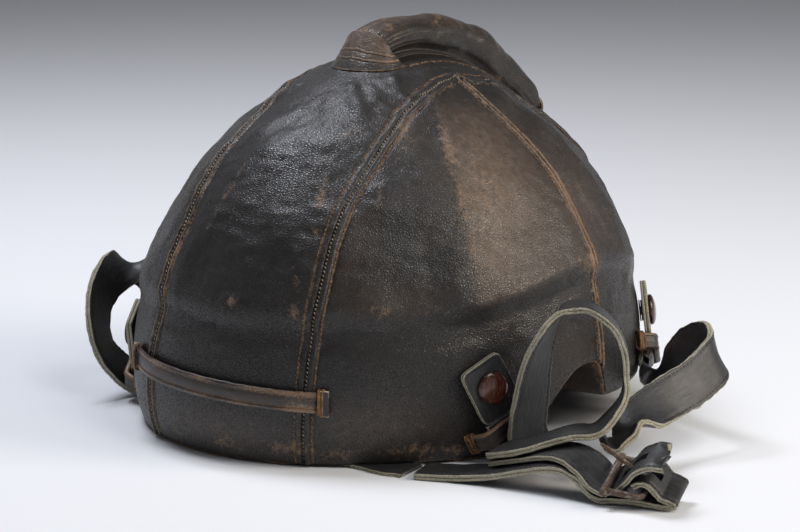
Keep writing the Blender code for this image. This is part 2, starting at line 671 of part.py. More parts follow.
# The edge rides up over the chin strap that passes under it at the back right
bump = bmesh.new()
bmesh.ops.create_cone(bump, cap_ends=True, segments=32, radius1=EDGE_BUMP_HALF_WIDTH,
                      radius2=EDGE_BUMP_HALF_WIDTH, depth=EDGE_BUMP_LENGTH)
bmesh.ops.rotate(bump, verts=bump.verts, matrix=Matrix.Rotation(radians(90), 3, "Y"))
bmesh.ops.scale(bump, verts=bump.verts, vec=(1, 1, EDGE_BUMP_HEIGHT / EDGE_BUMP_HALF_WIDTH))
bump_tool = as_cutter(put("edge_bump_tool", bump, WORN_LEATHER))
bump_tool.location = (SHELL_HALF_WIDTH * BUMP_PLACE_SHARES[0], SHELL_HALF_LENGTH * BUMP_PLACE_SHARES[1], 0)
cut(edge_lengths["rear"], bump_tool)

# Crest
crest_seat = CREST_BASE_CLEARANCE + CREST_BASE_THICKNESS + CREST_BASE_CLEARANCE


def crown_direction(angle, across):
    turn = radians(angle)
    return Vector((across / (SHELL_HALF_WIDTH * polar_radius(radians(90) - turn)), sin(turn), cos(turn)))


def crown_frame(angle):
    """Foot on the leather and the way up from it, in the middle plane."""
    foot = on_dome(crown_direction(angle, 0.0))
    along = on_dome(crown_direction(angle + 1, 0.0)) - on_dome(crown_direction(angle - 1, 0.0))
    up = Vector((1, 0, 0)).cross(along).normalized()
    return foot, up


def crest_ring(angle, turns, shrink):
    """One section of the stuffed roll: round, narrower where it meets its base."""
    foot, up = crown_frame(angle)
    half_width = CREST_HALF_WIDTH * in_table(CREST_WIDTH_SHARES, angle) - shrink
    top = CREST_HEIGHT * in_table(CREST_HEIGHT_SHARES, angle) - shrink
    low = crest_seat + shrink
    ring = []
    for turn in turns:
        height = low + 0.5 * (top - low) * (1 + sin(radians(turn)))
        ring.append(foot + up * height + Vector((half_width * cos(radians(turn)), 0, 0)))
    return ring


def sheet(name, rows, thickness, finish, outwards=False):
    """An open surface over rows of points, given its thickness by Solidify."""
    bm = bmesh.new()
    grid = [[bm.verts.new(point) for point in row] for row in rows]
    for low, high in zip(grid, grid[1:]):
        for column in range(len(low) - 1):
            bm.faces.new([low[column], low[column + 1], high[column + 1], high[column]])
    made = put(name, bm, finish)
    wall = made.modifiers.new("wall", "SOLIDIFY")
    wall.thickness = thickness
    wall.offset = 1.0 if outwards else -1.0
    wall.use_even_offset = True
    return made


crest_stations = [17.0, 15.5, 12.0, 5.0, 0.0, -6.0, -12.0, -18.0, -24.0, -30.0, -36.0, -42.0, -47.0,
                  -51.0, -54.0, -56.0, -58.5, -60.0]
crest_turns = [CREST_START_ANGLE + share * (CREST_STOP_ANGLE - CREST_START_ANGLE) for share in shares(14)]
sheet("crest_cover", [crest_ring(angle, crest_turns, 0.0) for angle in crest_stations], CREST_SKIN,
      PANEL_LEATHER)

padding = bmesh.new()
padding_turns = [share * 360 for share in shares(12)[:-1]]
padding_shrink = CREST_SKIN + SEAT_GAP * 2
padding_rings = [[padding.verts.new(point) for point in crest_ring(angle, padding_turns, padding_shrink)]
                 for angle in crest_stations[2:-3]]
for low, high in zip(padding_rings, padding_rings[1:]):
    for index in range(len(low)):
        after = (index + 1) % len(low)
        padding.faces.new([low[index], low[after], high[after], high[index]])
padding.faces.new(padding_rings[0][::-1])
padding.faces.new(padding_rings[-1])
bmesh.ops.recalc_face_normals(padding, faces=padding.faces)
put("crest_padding", padding, FELT_PAD)

base_rows = []
base_start = CREST_REAR_ANGLE - CREST_BASE_INSET_ANGLE
base_stop = CREST_FRONT_ANGLE + CREST_BASE_INSET_ANGLE
for share in shares(14):
    angle = base_start + share * (base_stop - base_start)
    _, up = crown_frame(angle)
    half_base = 0.5 * CREST_BASE_WIDTH
    base_rows.append([on_dome(crown_direction(angle, across * half_base)) + up * CREST_BASE_CLEARANCE
                      for across in (1.0, 0.33, -0.33, -1.0)])
sheet("crest_base_strip", base_rows, CREST_BASE_THICKNESS, PANEL_LEATHER, outwards=True)


def collar(name, end_angle, way):
    """A hood that takes the roll's end down onto the shell."""
    mouth_angle = end_angle - way * COLLAR_OVERLAP_ANGLE
    half_width = CREST_HALF_WIDTH * in_table(CREST_WIDTH_SHARES, mouth_angle) + COLLAR_CLEARANCE
    top = CREST_HEIGHT * in_table(CREST_HEIGHT_SHARES, mouth_angle) + COLLAR_CLEARANCE
    rows = []
    for level in shares(6):
        row = []
        for share in shares(14):
            turn = radians(COLLAR_START_ANGLE + share * (COLLAR_STOP_ANGLE - COLLAR_START_ANGLE))
            lying = sin(level * pi / 2)
            angle = mouth_angle + way * COLLAR_REACH_ANGLE * lying * sin(turn)
            across = (half_width + COLLAR_BASE_SPREAD * level * level) * cos(turn)
            upright = crest_seat + 0.5 * (top - crest_seat) * (1 + sin(turn))
            height = SEAT_GAP + (upright - SEAT_GAP) * (1 - level ** 2.2)
            foot = on_dome(crown_direction(angle, across))
            _, up = crown_frame(angle)
            row.append(foot + up * height)
        rows.append(row if way < 0 else row[::-1])
    return sheet(name, rows, COLLAR_SKIN, PANEL_LEATHER, outwards=True)


collar("crest_collar_rear", CREST_REAR_ANGLE, 1)
collar("crest_collar_front", CREST_FRONT_ANGLE, -1)

# Strap loop at the back and its two sewn ends
loop_rows = []
for across in (-0.5, 0.5):
    row = []
    for share in shares(16):
        azimuth = BACK_LOOP_LEFT_AZIMUTH + share * (BACK_LOOP_RIGHT_AZIMUTH - BACK_LOOP_LEFT_AZIMUTH)
        middle = BACK_LOOP_LEFT_HEIGHT + share * (BACK_LOOP_RIGHT_HEIGHT - BACK_LOOP_LEFT_HEIGHT)
        bow = SEAT_GAP + BACK_LOOP_BOW * min(1.0, 6 * share, 6 * (1 - share))
        height = middle + across * BACK_LOOP_WIDTH
        row.append(dome_point(azimuth, height, -LAYER_GAP - bow))
    loop_rows.append(row)
sheet("back_strap_loop", loop_rows, BACK_LOOP_THICKNESS, WORN_LEATHER, outwards=True)


def back_loop_end(name, azimuth, height, way):
    """The wrapped end that holds the loop to the shell, just past the loop."""
    near = azimuth + way * degrees(SEAT_GAP / SHELL_HALF_LENGTH)
    far = azimuth + way * degrees(BACK_LOOP_END_LENGTH / SHELL_HALF_LENGTH)
    rows = []
    for across in (-0.5, -0.2, 0.2, 0.5):
        rows.append([dome_point(min(near, far) + share * abs(far - near), height + across * BACK_LOOP_END_WIDTH,
                                -LAYER_GAP) for share in shares(2)])
    made = sheet(name, rows, BACK_LOOP_END_THICKNESS, WORN_LEATHER, outwards=True)
    soften = made.modifiers.new("soften", "BEVEL")
    soften.width = BACK_LOOP_END_THICKNESS * 0.3
    soften.segments = 2
    soften.angle_limit = radians(50)
    return made


back_loop_end("back_loop_end_left", BACK_LOOP_LEFT_AZIMUTH, BACK_LOOP_LEFT_HEIGHT, -1)
back_loop_end("back_loop_end_right", BACK_LOOP_RIGHT_AZIMUTH, BACK_LOOP_RIGHT_HEIGHT, 1)


def turned(name, profile, finish, matrix, steps):
    """A solid turned round its own Z from a profile of radius and height."""
    bm = bmesh.new()
    chain = [bm.verts.new((radius, 0, height)) for radius, height in profile]
    for low, high in zip(chain, chain[1:]):
        bm.edges.new((low, high))
    made = put(name, bm, finish, matrix)
    spin = made.modifiers.new("turn", "SCREW")
    spin.axis = "Z"
    spin.angle = 2 * pi
    spin.steps = steps
    spin.render_steps = steps
    spin.use_merge_vertices = True
    spin.merge_threshold = 0.00001
    spin.use_smooth_shade = True
    return made


def flat_piece(name, loops, thickness, finish, matrix):
    """A 2D outline, with holes, extruded evenly about its own plane."""
    curve = bpy.data.curves.new(name, "CURVE")
    curve.dimensions = "2D"
    curve.fill_mode = "BOTH"
    curve.extrude = thickness / 2
    curve.resolution_u = 1
    curve.render_resolution_u = 0
    for loop in loops:
        spline = curve.splines.new("POLY")
        spline.points.add(len(loop) - 1)
        for point, (x, y) in zip(spline.points, loop):
            point.co = (x, y, 0, 1)
        spline.use_cyclic_u = True
    return mesh_of(name, curve, finish, matrix)


def mesh_of(name, curve, finish, matrix):
    """Makes a closed mesh part of a curve."""
    holder = bpy.data.objects.new(name + "_curve", curve)
    parts.objects.link(holder)
    bpy.context.view_layer.update()
    evaluated = holder.evaluated_get(bpy.context.evaluated_depsgraph_get())
    mesh = bpy.data.meshes.new_from_object(evaluated)
    bpy.data.objects.remove(holder, do_unlink=True)
    bm = bmesh.new()
    bm.from_mesh(mesh)
    bmesh.ops.remove_doubles(bm, verts=bm.verts, dist=0.00002)
    bmesh.ops.recalc_face_normals(bm, faces=bm.faces)
    bpy.data.meshes.remove(mesh)
    return put(name, bm, finish, matrix)


def rounded_box(half_width, low, high, corner, corner_steps):
    """Outline of a box with rounded corners, counter-clockwise."""
    points = []
    for x_sign, y_edge, start in ((1, high, 0), (-1, high, 90), (-1, low, 180), (1, low, 270)):
        centre_y = y_edge - corner if y_edge == high else y_edge + corner
        for share in shares(corner_steps):
            turn = radians(start + 90 * share)
            points.append((x_sign * (half_width - corner) + corner * cos(turn), centre_y + corner * sin(turn)))
    return points


# Snaps: stud on the shell, tab and cap that lift together
half_strap = 0.5 * STRAP_THICKNESS
tab_foot = -HINGE_REACH - half_strap
tab_head = TAB_LENGTH + tab_foot
flange_top = SEAT_GAP + STUD_FLANGE_THICKNESS
socket_low = flange_top + SEAT_GAP
socket_high = TAB_LIFT - SEAT_GAP / 3
tab_top = TAB_LIFT + STRAP_THICKNESS
bore_top = socket_low + STRAP_THICKNESS
post_top = bore_top - 2 * SEAT_GAP
cap_low = tab_top + SEAT_GAP
SNAPS = {"rear_right": (REAR_SNAP_AZIMUTH, REAR_SNAP_HEIGHT, TAB_LEAN),
         "front_right": (FRONT_SNAP_AZIMUTH, FRONT_SNAP_HEIGHT, -TAB_LEAN),
         "rear_left": (-REAR_LEFT_SNAP_AZIMUTH, REAR_SNAP_HEIGHT, -TAB_LEAN),
         "front_left": (-FRONT_SNAP_AZIMUTH, FRONT_SNAP_HEIGHT, TAB_LEAN)}


def frame_matrix(x_axis, y_axis, z_axis, place):
    columns = Matrix((x_axis, y_axis, z_axis)).transposed()
    return Matrix.Translation(place) @ columns.to_4x4()


def snap_frame(azimuth, height, lean):
    """Frame on the leather: Z out, Y up the tab, X across it."""
    out = outward_at(azimuth, height)
    aside = Vector((0, 0, 1)).cross(out).normalized()
    up = out.cross(aside)
    turn = radians(lean)
    across = aside * cos(turn) + up * sin(turn)
    along = up * cos(turn) - aside * sin(turn)
    return frame_matrix(across, along, out, dome_point(azimuth, height))


def outside(place):
    """Whether a place lies outside the leather."""
    height = place.z / SHELL_HEIGHT
    x = place.x / SHELL_HALF_WIDTH
    y = (place.y + CROWN_FORWARD * height * height) / SHELL_HALF_LENGTH
    level = height - STAR_CENTRE_SHARE
    flat = hypot(x, y)
    return hypot(flat, level) > polar_radius(atan2(level, flat))


def drop_to_shell(frame, x, y):
    """Height in a snap's frame of the leather under a point."""
    low = -LOOP_LENGTH
    high = LOOP_LENGTH
    for _ in range(30):
        middle = 0.5 * (low + high)
        if outside(frame @ Vector((x, y, middle))):
            high = middle
        else:
            low = middle
    return high


def stud(name, frame):
    profile = [(0, post_top), (STUD_POST_RADIUS * 0.7, post_top), (STUD_POST_RADIUS, post_top - SEAT_GAP),
               (STUD_POST_RADIUS, flange_top), (STUD_FLANGE_RADIUS, flange_top),
               (STUD_FLANGE_RADIUS, SEAT_GAP), (0, SEAT_GAP)]
    return turned(name, profile, RUSTY_STEEL, frame, ROUND_STEPS)


def cap(name, frame, hinge):
    """Domed cap, shaft through the tab and socket ring under it, in one piece."""
    dome_rise = CAP_HEIGHT - CAP_RIM_HEIGHT
    crown = [(CAP_RADIUS * sin(radians(turn)), cap_low + CAP_RIM_HEIGHT + dome_rise * cos(radians(turn)))
             for turn in (0, 22, 42, 60, 76, 90)]
    profile = crown + [(CAP_RADIUS, cap_low + CAP_RIM_HEIGHT * 0.3),
                       (CAP_RADIUS - CAP_RIM_HEIGHT * 0.4, cap_low), (SHAFT_RADIUS, cap_low),
                       (SHAFT_RADIUS, socket_high), (SOCKET_RADIUS, socket_high),
                       (SOCKET_RADIUS, socket_low), (SOCKET_BORE_RADIUS, socket_low),
                       (SOCKET_BORE_RADIUS, bore_top), (0, bore_top)]
    lowered = [(radius, height - TAB_LIFT - half_strap) for radius, height in profile]
    made = turned(name, lowered, SNAP_ENAMEL, None, CAP_STEPS)
    made.parent = hinge
    made.location = (0, HINGE_REACH, 0)
    return made


def tab(name, hinge):
    """Strap end that carries the cap, its foot rounded about the fold line."""
    hole = [((SHAFT_RADIUS + TAB_HOLE_CLEARANCE) * cos(radians(turn)),
             (SHAFT_RADIUS + TAB_HOLE_CLEARANCE) * sin(radians(turn)) + HINGE_REACH)
            for turn in range(0, 360, 360 // ROUND_STEPS)]
    outline = rounded_box(0.5 * TAB_WIDTH, tab_foot + HINGE_REACH, tab_head + HINGE_REACH, TAB_CORNER, 3)
    made = flat_piece(name, [outline, hole[::-1]], STRAP_THICKNESS, STRAP_LEATHER, None)
    bm = bmesh.new()
    bm.from_mesh(made.data)
    bmesh.ops.dissolve_limit(bm, angle_limit=radians(1), verts=bm.verts, edges=bm.edges)
    line = tab_foot + HINGE_REACH + SEAT_GAP
    foot_edges = [edge for edge in bm.edges
                  if all(vert.co.y < line for vert in edge.verts)
                  and abs(edge.verts[0].co.z - edge.verts[1].co.z) < SEAT_GAP]
    bmesh.ops.bevel(bm, geom=foot_edges, offset=half_strap * 0.92, segments=3, profile=0.5, affect="EDGES",
                    material=-1)
    bm.to_mesh(made.data)
    bm.free()
    made.parent = hinge
    return made


def strap_loop(name, frame):
    """Band sewn to the shell at both ends, with the strap under it."""
    crown_line = TAB_LIFT + STRAP_THICKNESS + LOOP_GAP
    rows = []
    for across in (-0.5, 0.5):
        row = []
        for share in (-1.0, -0.90, -0.80, -LOOP_CROWN_SHARE, -0.3, 0.3, LOOP_CROWN_SHARE, 0.80, 0.90, 1.0):
            x = share * 0.5 * LOOP_LENGTH
            y = -LOOP_OFFSET + across * LOOP_WIDTH
            rest = drop_to_shell(frame, x, y) + SEAT_GAP
            lift = min(1.0, (1 - abs(share)) / (1 - LOOP_CROWN_SHARE))
            lift = lift * lift * (3 - 2 * lift)
            row.append(frame @ Vector((x, y, rest + lift * (crown_line - rest))))
        rows.append(row)
    return sheet(name, rows, LOOP_THICKNESS, WORN_LEATHER, outwards=True)


frames = {}
for corner_name, (azimuth, height, lean) in SNAPS.items():
    frame = snap_frame(azimuth, height, lean)
    frames[corner_name] = frame
    hinge = bpy.data.objects.new("tab_hinge_" + corner_name, None)
    parts.objects.link(hinge)
    hinge.matrix_world = frame @ Matrix.Translation((0, -HINGE_REACH, TAB_LIFT + half_strap))
    bpy.context.view_layer.update()
    stud("snap_stud_" + corner_name, frame)
    tab("snap_tab_" + corner_name, hinge)
    cap("snap_cap_" + corner_name, frame, hinge)
    strap_loop("strap_loop_" + corner_name, frame)


# Straps
def across_vector(heading, rise):
    return Vector((cos(radians(heading)) * cos(radians(rise)), sin(radians(heading)) * cos(radians(rise)),
                   sin(radians(rise))))


def route(table):
    """Middle points and lines across of a table in shares of the shell."""
    centres = [Vector((x * SHELL_HALF_WIDTH, y * SHELL_HALF_LENGTH, z * SHELL_HEIGHT))
               for x, y, z, _, _ in table]
    widths = [across_vector(heading, rise) for _, _, _, heading, rise in table]
    return centres, widths


def stacked(table, rows, thicknesses):
    """Route that keeps to the top of another one, by rows and shares of the width."""
    centres, widths = route(table)
    ends = 0.5 * (thicknesses[0] + thicknesses[-1])
    rise = sum(thicknesses) - ends + (len(thicknesses) - 1) * STACK_GAP
    places = []
    lying = []
    for row, share in rows:
        along = (centres[min(row + 1, len(centres) - 1)] - centres[row - 1]).normalized()
        across = (widths[row] - along * widths[row].dot(along)).normalized()
        out = along.cross(across)
        out = out if out.z > 0 else -out
        places.append(centres[row] + across * share * STRAP_WIDTH + out * rise)
        lying.append(across)
    return places, lying


def ribbon(name, centres, widths, thickness, finish=STRAP_LEATHER):
    """A flat strap along a smooth line, as wide as the straps are."""
    length = sum((b - a).length for a, b in zip(centres, centres[1:]))
    count = max(2, ceil(length / ROUTE_STEP))
    line = smooth_path(centres, count)
    lying = smooth_path(widths, count)
    rows = []
    for index, (point, side) in enumerate(zip(line, lying)):
        along = (line[min(index + 1, count)] - line[max(index - 1, 0)]).normalized()
        across = (side - along * side.dot(along)).normalized() * 0.5 * STRAP_WIDTH
        rows.append([point - across, point + across])
    made = sheet(name, rows, thickness, finish)
    made.modifiers["wall"].offset = 0.0
    return made


strap_start = -HINGE_REACH - half_strap - HINGE_GAP
loop_foot = -LOOP_OFFSET - 0.5 * LOOP_WIDTH
TABLES = {"rear_right": REAR_RIGHT_ROUTE_SHARES, "front_right": FRONT_RIGHT_ROUTE_SHARES,
          "rear_left": REAR_LEFT_ROUTE_SHARES, "front_left": FRONT_LEFT_ROUTE_SHARES}
for corner_name, table in TABLES.items():
    frame = frames[corner_name]
    side = 1 if "right" in corner_name else -1
    level = TAB_LIFT + half_strap
    centres, widths = route(table)
    first = [frame @ Vector((0, strap_start, level)), frame @ Vector((0, loop_foot, level))]
    cross = frame.to_3x3() @ Vector((side, 0, 0))
    if corner_name == "rear_right":
        places, lying = stacked(BUCKLE_ROUTE_SHARES, REAR_END_SHARES,
                                (STRAP_THICKNESS, TONGUE_THICKNESS, STRAP_THICKNESS))
        centres = centres + places
        widths = widths + lying
    ribbon("strap_" + corner_name, first + centres, [cross, cross] + widths, STRAP_THICKNESS)

centres, widths = route(CHIN_LEFT_ROUTE_SHARES)
ribbon("chin_strap_left", centres, widths, UNDER_STRAP_THICKNESS)

# Buckle frame: X from the heel bar to the front bar, Y along the bars, Z out
bar_line = across_vector(BUCKLE_BAR_HEADING, BUCKLE_BAR_RISE)
level_front = across_vector(BUCKLE_BAR_HEADING + 90, BUCKLE_TILT)
front_line = (level_front - bar_line * level_front.dot(bar_line)).normalized()
buckle_frame = frame_matrix(front_line, -bar_line, front_line.cross(-bar_line),
                            Vector((BUCKLE_PLACE_SHARES[0] * SHELL_HALF_WIDTH,
                                    BUCKLE_PLACE_SHARES[1] * SHELL_HALF_LENGTH,
                                    BUCKLE_PLACE_SHARES[2] * SHELL_HEIGHT)))


def buckle_points(table):
    return [buckle_frame @ Vector((reach * BUCKLE_LENGTH, 0, rise * BUCKLE_LENGTH)) for reach, rise in table]


def slot_tool(name, reach_shares, rise_shares):
    """A box through the straps where the prong passes."""
    bm = bmesh.new()
    bmesh.ops.create_cube(bm, size=1.0)
    size = Vector(((reach_shares[1] - reach_shares[0]) * BUCKLE_LENGTH, PRONG_SLOT_WIDTH,
                   (rise_shares[1] - rise_shares[0]) * BUCKLE_LENGTH))
    middle = Vector((sum(reach_shares) * 0.5 * BUCKLE_LENGTH, 0, sum(rise_shares) * 0.5 * BUCKLE_LENGTH))
    bmesh.ops.scale(bm, verts=bm.verts, vec=size)
    bmesh.ops.translate(bm, verts=bm.verts, vec=middle)
    return as_cutter(put(name, bm, STRAP_LEATHER, buckle_frame))


centres, widths = stacked(BUCKLE_ROUTE_SHARES, CHIN_RIGHT_SHARES, (STRAP_THICKNESS, TONGUE_THICKNESS))
tongue_points = buckle_points(TONGUE_REACH_SHARES)
chin_right = ribbon("chin_strap_right", centres + tongue_points, widths + [bar_line] * len(tongue_points),
                    TONGUE_THICKNESS)
cut(chin_right, slot_tool("tongue_slot", TONGUE_SLOT_REACH_SHARES, (-0.2, 0.8)))

centres, widths = route(BUCKLE_ROUTE_SHARES)
fold_points = buckle_points(BUCKLE_FOLD_SHARES)
buckle_strap = ribbon("buckle_strap", centres + fold_points, widths + [bar_line] * len(fold_points),
                      STRAP_THICKNESS)
cut(buckle_strap, slot_tool("fold_slot", FOLD_SLOT_REACH_SHARES, (0.0, 0.5)))


def wire(name, points, radii, thickness, finish, matrix, cyclic=False):
    """A round wire along points, thinner where a radius share says."""
    curve = bpy.data.curves.new(name, "CURVE")
    curve.dimensions = "3D"
    curve.bevel_depth = thickness / 2
    curve.bevel_resolution = 2
    curve.use_fill_caps = True
    curve.resolution_u = 1
    curve.render_resolution_u = 0
    spline = curve.splines.new("POLY")
    spline.points.add(len(points) - 1)
    for point, place, share in zip(spline.points, points, radii):
        point.co = (*place, 1)
        point.radius = share
    spline.use_cyclic_u = cyclic
    return mesh_of(name, curve, finish, matrix)


half_bar = 0.5 * (BUCKLE_INNER_WIDTH + BUCKLE_WIRE)
ring_points = []
for x_sign, y_sign, start in ((1, 1, 0), (-1, 1, 90), (-1, -1, 180), (1, -1, 270)):
    corner_x = BUCKLE_LENGTH - BUCKLE_WIRE if x_sign > 0 else BUCKLE_WIRE
    for share in shares(3):
        turn = radians(start + 90 * share)
        ring_points.append((corner_x + BUCKLE_WIRE * cos(turn),
                            y_sign * (half_bar - BUCKLE_WIRE) + BUCKLE_WIRE * sin(turn), 0))
buckle = wire("buckle_frame", ring_points, [1.0] * len(ring_points), BUCKLE_WIRE, RUSTY_STEEL, buckle_frame,
              True)
bar = bmesh.new()
bmesh.ops.create_cube(bar, size=1.0)
bar_length = BUCKLE_INNER_WIDTH + 2 * BUCKLE_WIRE + 2 * BUCKLE_BAR_OVERHANG
bmesh.ops.scale(bar, verts=bar.verts, vec=(BUCKLE_WIRE * 1.28, bar_length, BUCKLE_WIRE * 1.06))
bmesh.ops.bevel(bar, geom=bar.edges, offset=BUCKLE_WIRE * 0.34, segments=2, profile=0.5, affect="EDGES",
                material=-1)
bmesh.ops.translate(bar, verts=bar.verts, vec=(BUCKLE_LENGTH, 0, 0))
cut(buckle, as_cutter(put("front_bar", bar, RUSTY_STEEL, buckle_frame)), "UNION")

# Prong: a curled eye round the heel bar, then a tapering pin
eye_radius = 0.5 * BUCKLE_WIRE + PRONG_EYE_GAP + 0.5 * PRONG_EYE_WIRE
eye_share = PRONG_EYE_WIRE / PRONG_WIRE
prong_points = []
prong_radii = []
for share in shares(10):
    turn = radians(120 + 250 * share)
    prong_points.append((eye_radius * cos(turn), 0, eye_radius * sin(turn)))
    prong_radii.append(eye_share)
for share, width in ((0.22, 0.9), (0.4, 1.0), (0.75, 0.92), (0.95, 0.8), (1.0, 0.5)):
    prong_points.append((share * PRONG_LENGTH, 0, eye_radius * 0.17 * (1 - share)))
    prong_radii.append(width)
prong_frame = buckle_frame @ Matrix.Rotation(radians(-PRONG_LIFT), 4, "Y")
wire("buckle_prong", prong_points, prong_radii, PRONG_WIRE, RUSTY_STEEL, prong_frame)
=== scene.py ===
"""A worn leather flying helmet seen from behind and to its right: five sewn panels of
pebbled cowhide over steel plates, a stuffed crest, snapped tabs and layered chin straps.
Metres, +Z up, the back towards +Y, the wearer's right at -X."""
from math import atan2, ceil, cos, hypot, pi, radians, sin, tau
import bmesh
import bpy
import numpy as np
from mathutils import Matrix, Vector


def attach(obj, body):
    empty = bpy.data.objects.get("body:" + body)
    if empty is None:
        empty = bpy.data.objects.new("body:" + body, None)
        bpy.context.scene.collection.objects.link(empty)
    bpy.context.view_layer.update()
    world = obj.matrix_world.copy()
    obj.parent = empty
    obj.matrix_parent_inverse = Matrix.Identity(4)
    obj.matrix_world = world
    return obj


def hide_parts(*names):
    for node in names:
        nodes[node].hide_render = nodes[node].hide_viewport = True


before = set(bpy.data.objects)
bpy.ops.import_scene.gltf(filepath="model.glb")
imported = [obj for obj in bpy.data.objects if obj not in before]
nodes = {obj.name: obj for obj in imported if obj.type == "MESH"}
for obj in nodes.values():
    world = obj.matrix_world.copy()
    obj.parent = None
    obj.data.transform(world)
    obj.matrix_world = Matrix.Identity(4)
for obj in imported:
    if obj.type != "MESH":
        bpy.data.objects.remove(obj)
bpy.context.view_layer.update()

rng = np.random.default_rng(7)
MM = 0.001

# Shell, as the solids have it
SHELL_HALF_WIDTH = 0.1194
SHELL_HALF_LENGTH = 0.1387
SHELL_HEIGHT = 0.1795
CROWN_FORWARD = 0.0037
STAR_CENTRE = 0.25
PROFILE = [(-0.10, 0.930), (0.0, 0.964), (0.08, 0.993), (0.208, 0.999), (0.344, 0.971), (0.479, 0.923),
           (0.625, 0.826), (0.750, 0.686), (0.854, 0.511), (0.938, 0.343), (0.984, 0.160), (1.0, 0.0)]
EAR_ARCH_HEIGHT = 0.0365
TEMPLE_LIFT = 0.0165
EDGE_LINE = [(0, 0, 0), (30, 0, 0), (60, 0, 0), (70, 0.02, 0), (75, 0.12, 0), (80, 0.34, 0), (82, 0.51, 0),
             (85.6, 0.74, 0), (88.5, 0.89, 0), (91.5, 0.98, 0), (95.2, 1.0, 0), (97.6, 0.97, 0),
             (99.2, 0.83, 0), (99.9, 0.60, 0.1), (101.2, 0.02, 1.05), (104, 0, 1.03), (110, 0, 0.98),
             (118, 0, 0.97), (130, 0, 0.85), (144, 0, 0.5), (157, 0, 0.12), (167, 0, 0), (180, 0, 0)]
# Seams as sewn: height share and azimuth from the back. The left rear one runs nearer the middle
REAR_RIGHT_SEAM = [(0.0, 27.0), (0.16, 27.8), (0.276, 28.4), (0.377, 29.0), (0.476, 30.2), (0.573, 31.2),
                   (0.667, 33.3), (0.737, 36.8), (0.804, 42.0), (0.871, 49.5), (0.914, 61.0), (0.940, 76.0),
                   (0.949, 94.0)]
REAR_LEFT_SEAM = [(0.0, 18.9), (0.093, 18.5), (0.164, 18.1), (0.275, 17.2), (0.357, 16.2), (0.438, 15.8),
                  (0.515, 16.2), (0.578, 17.2), (0.652, 19.4), (0.723, 23.0), (0.796, 28.0), (0.850, 34.5),
                  (0.900, 47.0), (0.930, 66.0), (0.949, 94.0)]
FRONT_SEAM = [(0.0, 153.5), (0.34, 153.0), (0.53, 151.0), (0.63, 149.0), (0.72, 146.0), (0.81, 141.0),
              (0.88, 134.0), (0.925, 120.0), (0.949, 94.0)]
SIDE_SEAM = [(0.0, 98.5), (0.365, 99.3), (0.746, 99.3), (0.850, 97.5), (0.949, 94.0)]
SEAM_TABLES = {("rear", 1): REAR_RIGHT_SEAM, ("rear", -1): REAR_LEFT_SEAM, ("front", 1): FRONT_SEAM,
               ("front", -1): FRONT_SEAM, ("side", 1): SIDE_SEAM, ("side", -1): SIDE_SEAM}
PANEL_TOP = 0.940
JUNCTION = 0.949
LEATHER = 1.6 * MM


def smooth_reader(rows):
    """Smooth reading of a table of keys and values, for whole arrays."""
    keys, values = np.array(rows, float).T

    def read(key):
        index = np.clip(np.searchsorted(keys, key) - 1, 0, len(keys) - 2)
        before = np.maximum(index - 1, 0)
        after = np.minimum(index + 2, len(keys) - 1)
        span = keys[index + 1] - keys[index]
        slope_low = (values[index + 1] - values[before]) / (keys[index + 1] - keys[before])
        slope_high = (values[after] - values[index]) / (keys[after] - keys[index])
        t = (key - keys[index]) / span
        return ((2 * t ** 3 - 3 * t ** 2 + 1) * values[index] + (t ** 3 - 2 * t ** 2 + t) * span * slope_low
                + (3 * t ** 2 - 2 * t ** 3) * values[index + 1] + (t ** 3 - t ** 2) * span * slope_high)
    return read


polar = sorted((atan2(height - STAR_CENTRE, radius), hypot(height - STAR_CENTRE, radius))
               for height, radius in PROFILE)
polar += [(pi - angle, radius) for angle, radius in reversed(polar[-4:-1])]
polar_radius = smooth_reader(polar)
fine_angles = np.radians(np.linspace(-20.5, 90, 6001))
fine_heights = STAR_CENTRE + polar_radius(fine_angles) * np.sin(fine_angles)


def unit(vectors):
    return vectors / np.maximum(np.linalg.norm(vectors, axis=-1, keepdims=True), 1e-12)


def on_dome(direction, depth=0.0):
    """Places on the leather's outer face along directions from the star centre, or deeper."""
    flat = np.hypot(direction[..., 0], direction[..., 1])
    angle = np.arctan2(direction[..., 2], flat)
    radius = polar_radius(angle)
    share = radius * np.cos(angle) / np.maximum(flat, 1e-9)
    height = STAR_CENTRE + radius * np.sin(angle)
    place = np.stack([SHELL_HALF_WIDTH * share * direction[..., 0],
                      SHELL_HALF_LENGTH * share * direction[..., 1] - CROWN_FORWARD * height ** 2,
                      SHELL_HEIGHT * height], -1)
    inward = np.stack([-place[..., 0], -place[..., 1],
                       np.minimum(0.0, SHELL_HEIGHT * STAR_CENTRE - place[..., 2])], -1)
    return place + unit(inward) * np.broadcast_to(np.asarray(depth, float), flat.shape)[..., None]


def direction_at(azimuth, height_share):
    turn = np.radians(azimuth)
    low = np.interp(height_share, fine_heights, fine_angles)
    return np.stack([-np.sin(turn) * np.cos(low), np.cos(turn) * np.cos(low), np.sin(low) + 0 * turn], -1)


def dome_point(azimuth, height, depth=0.0):
    return on_dome(direction_at(np.asarray(azimuth, float), np.asarray(height, float) / SHELL_HEIGHT), depth)


def toward(points):
    """Directions from the star centre to places near the shell."""
    height = points[..., 2] / SHELL_HEIGHT
    return np.stack([points[..., 0] / SHELL_HALF_WIDTH,
                     (points[..., 1] + CROWN_FORWARD * height ** 2) / SHELL_HALF_LENGTH,
                     height - STAR_CENTRE], -1)


def above_shell(points):
    """How far places lie outside the leather, as a share of the shell's size."""
    q = toward(points)
    flat = np.hypot(q[..., 0], q[..., 1])
    return np.hypot(flat, q[..., 2]) - polar_radius(np.arctan2(q[..., 2], flat))


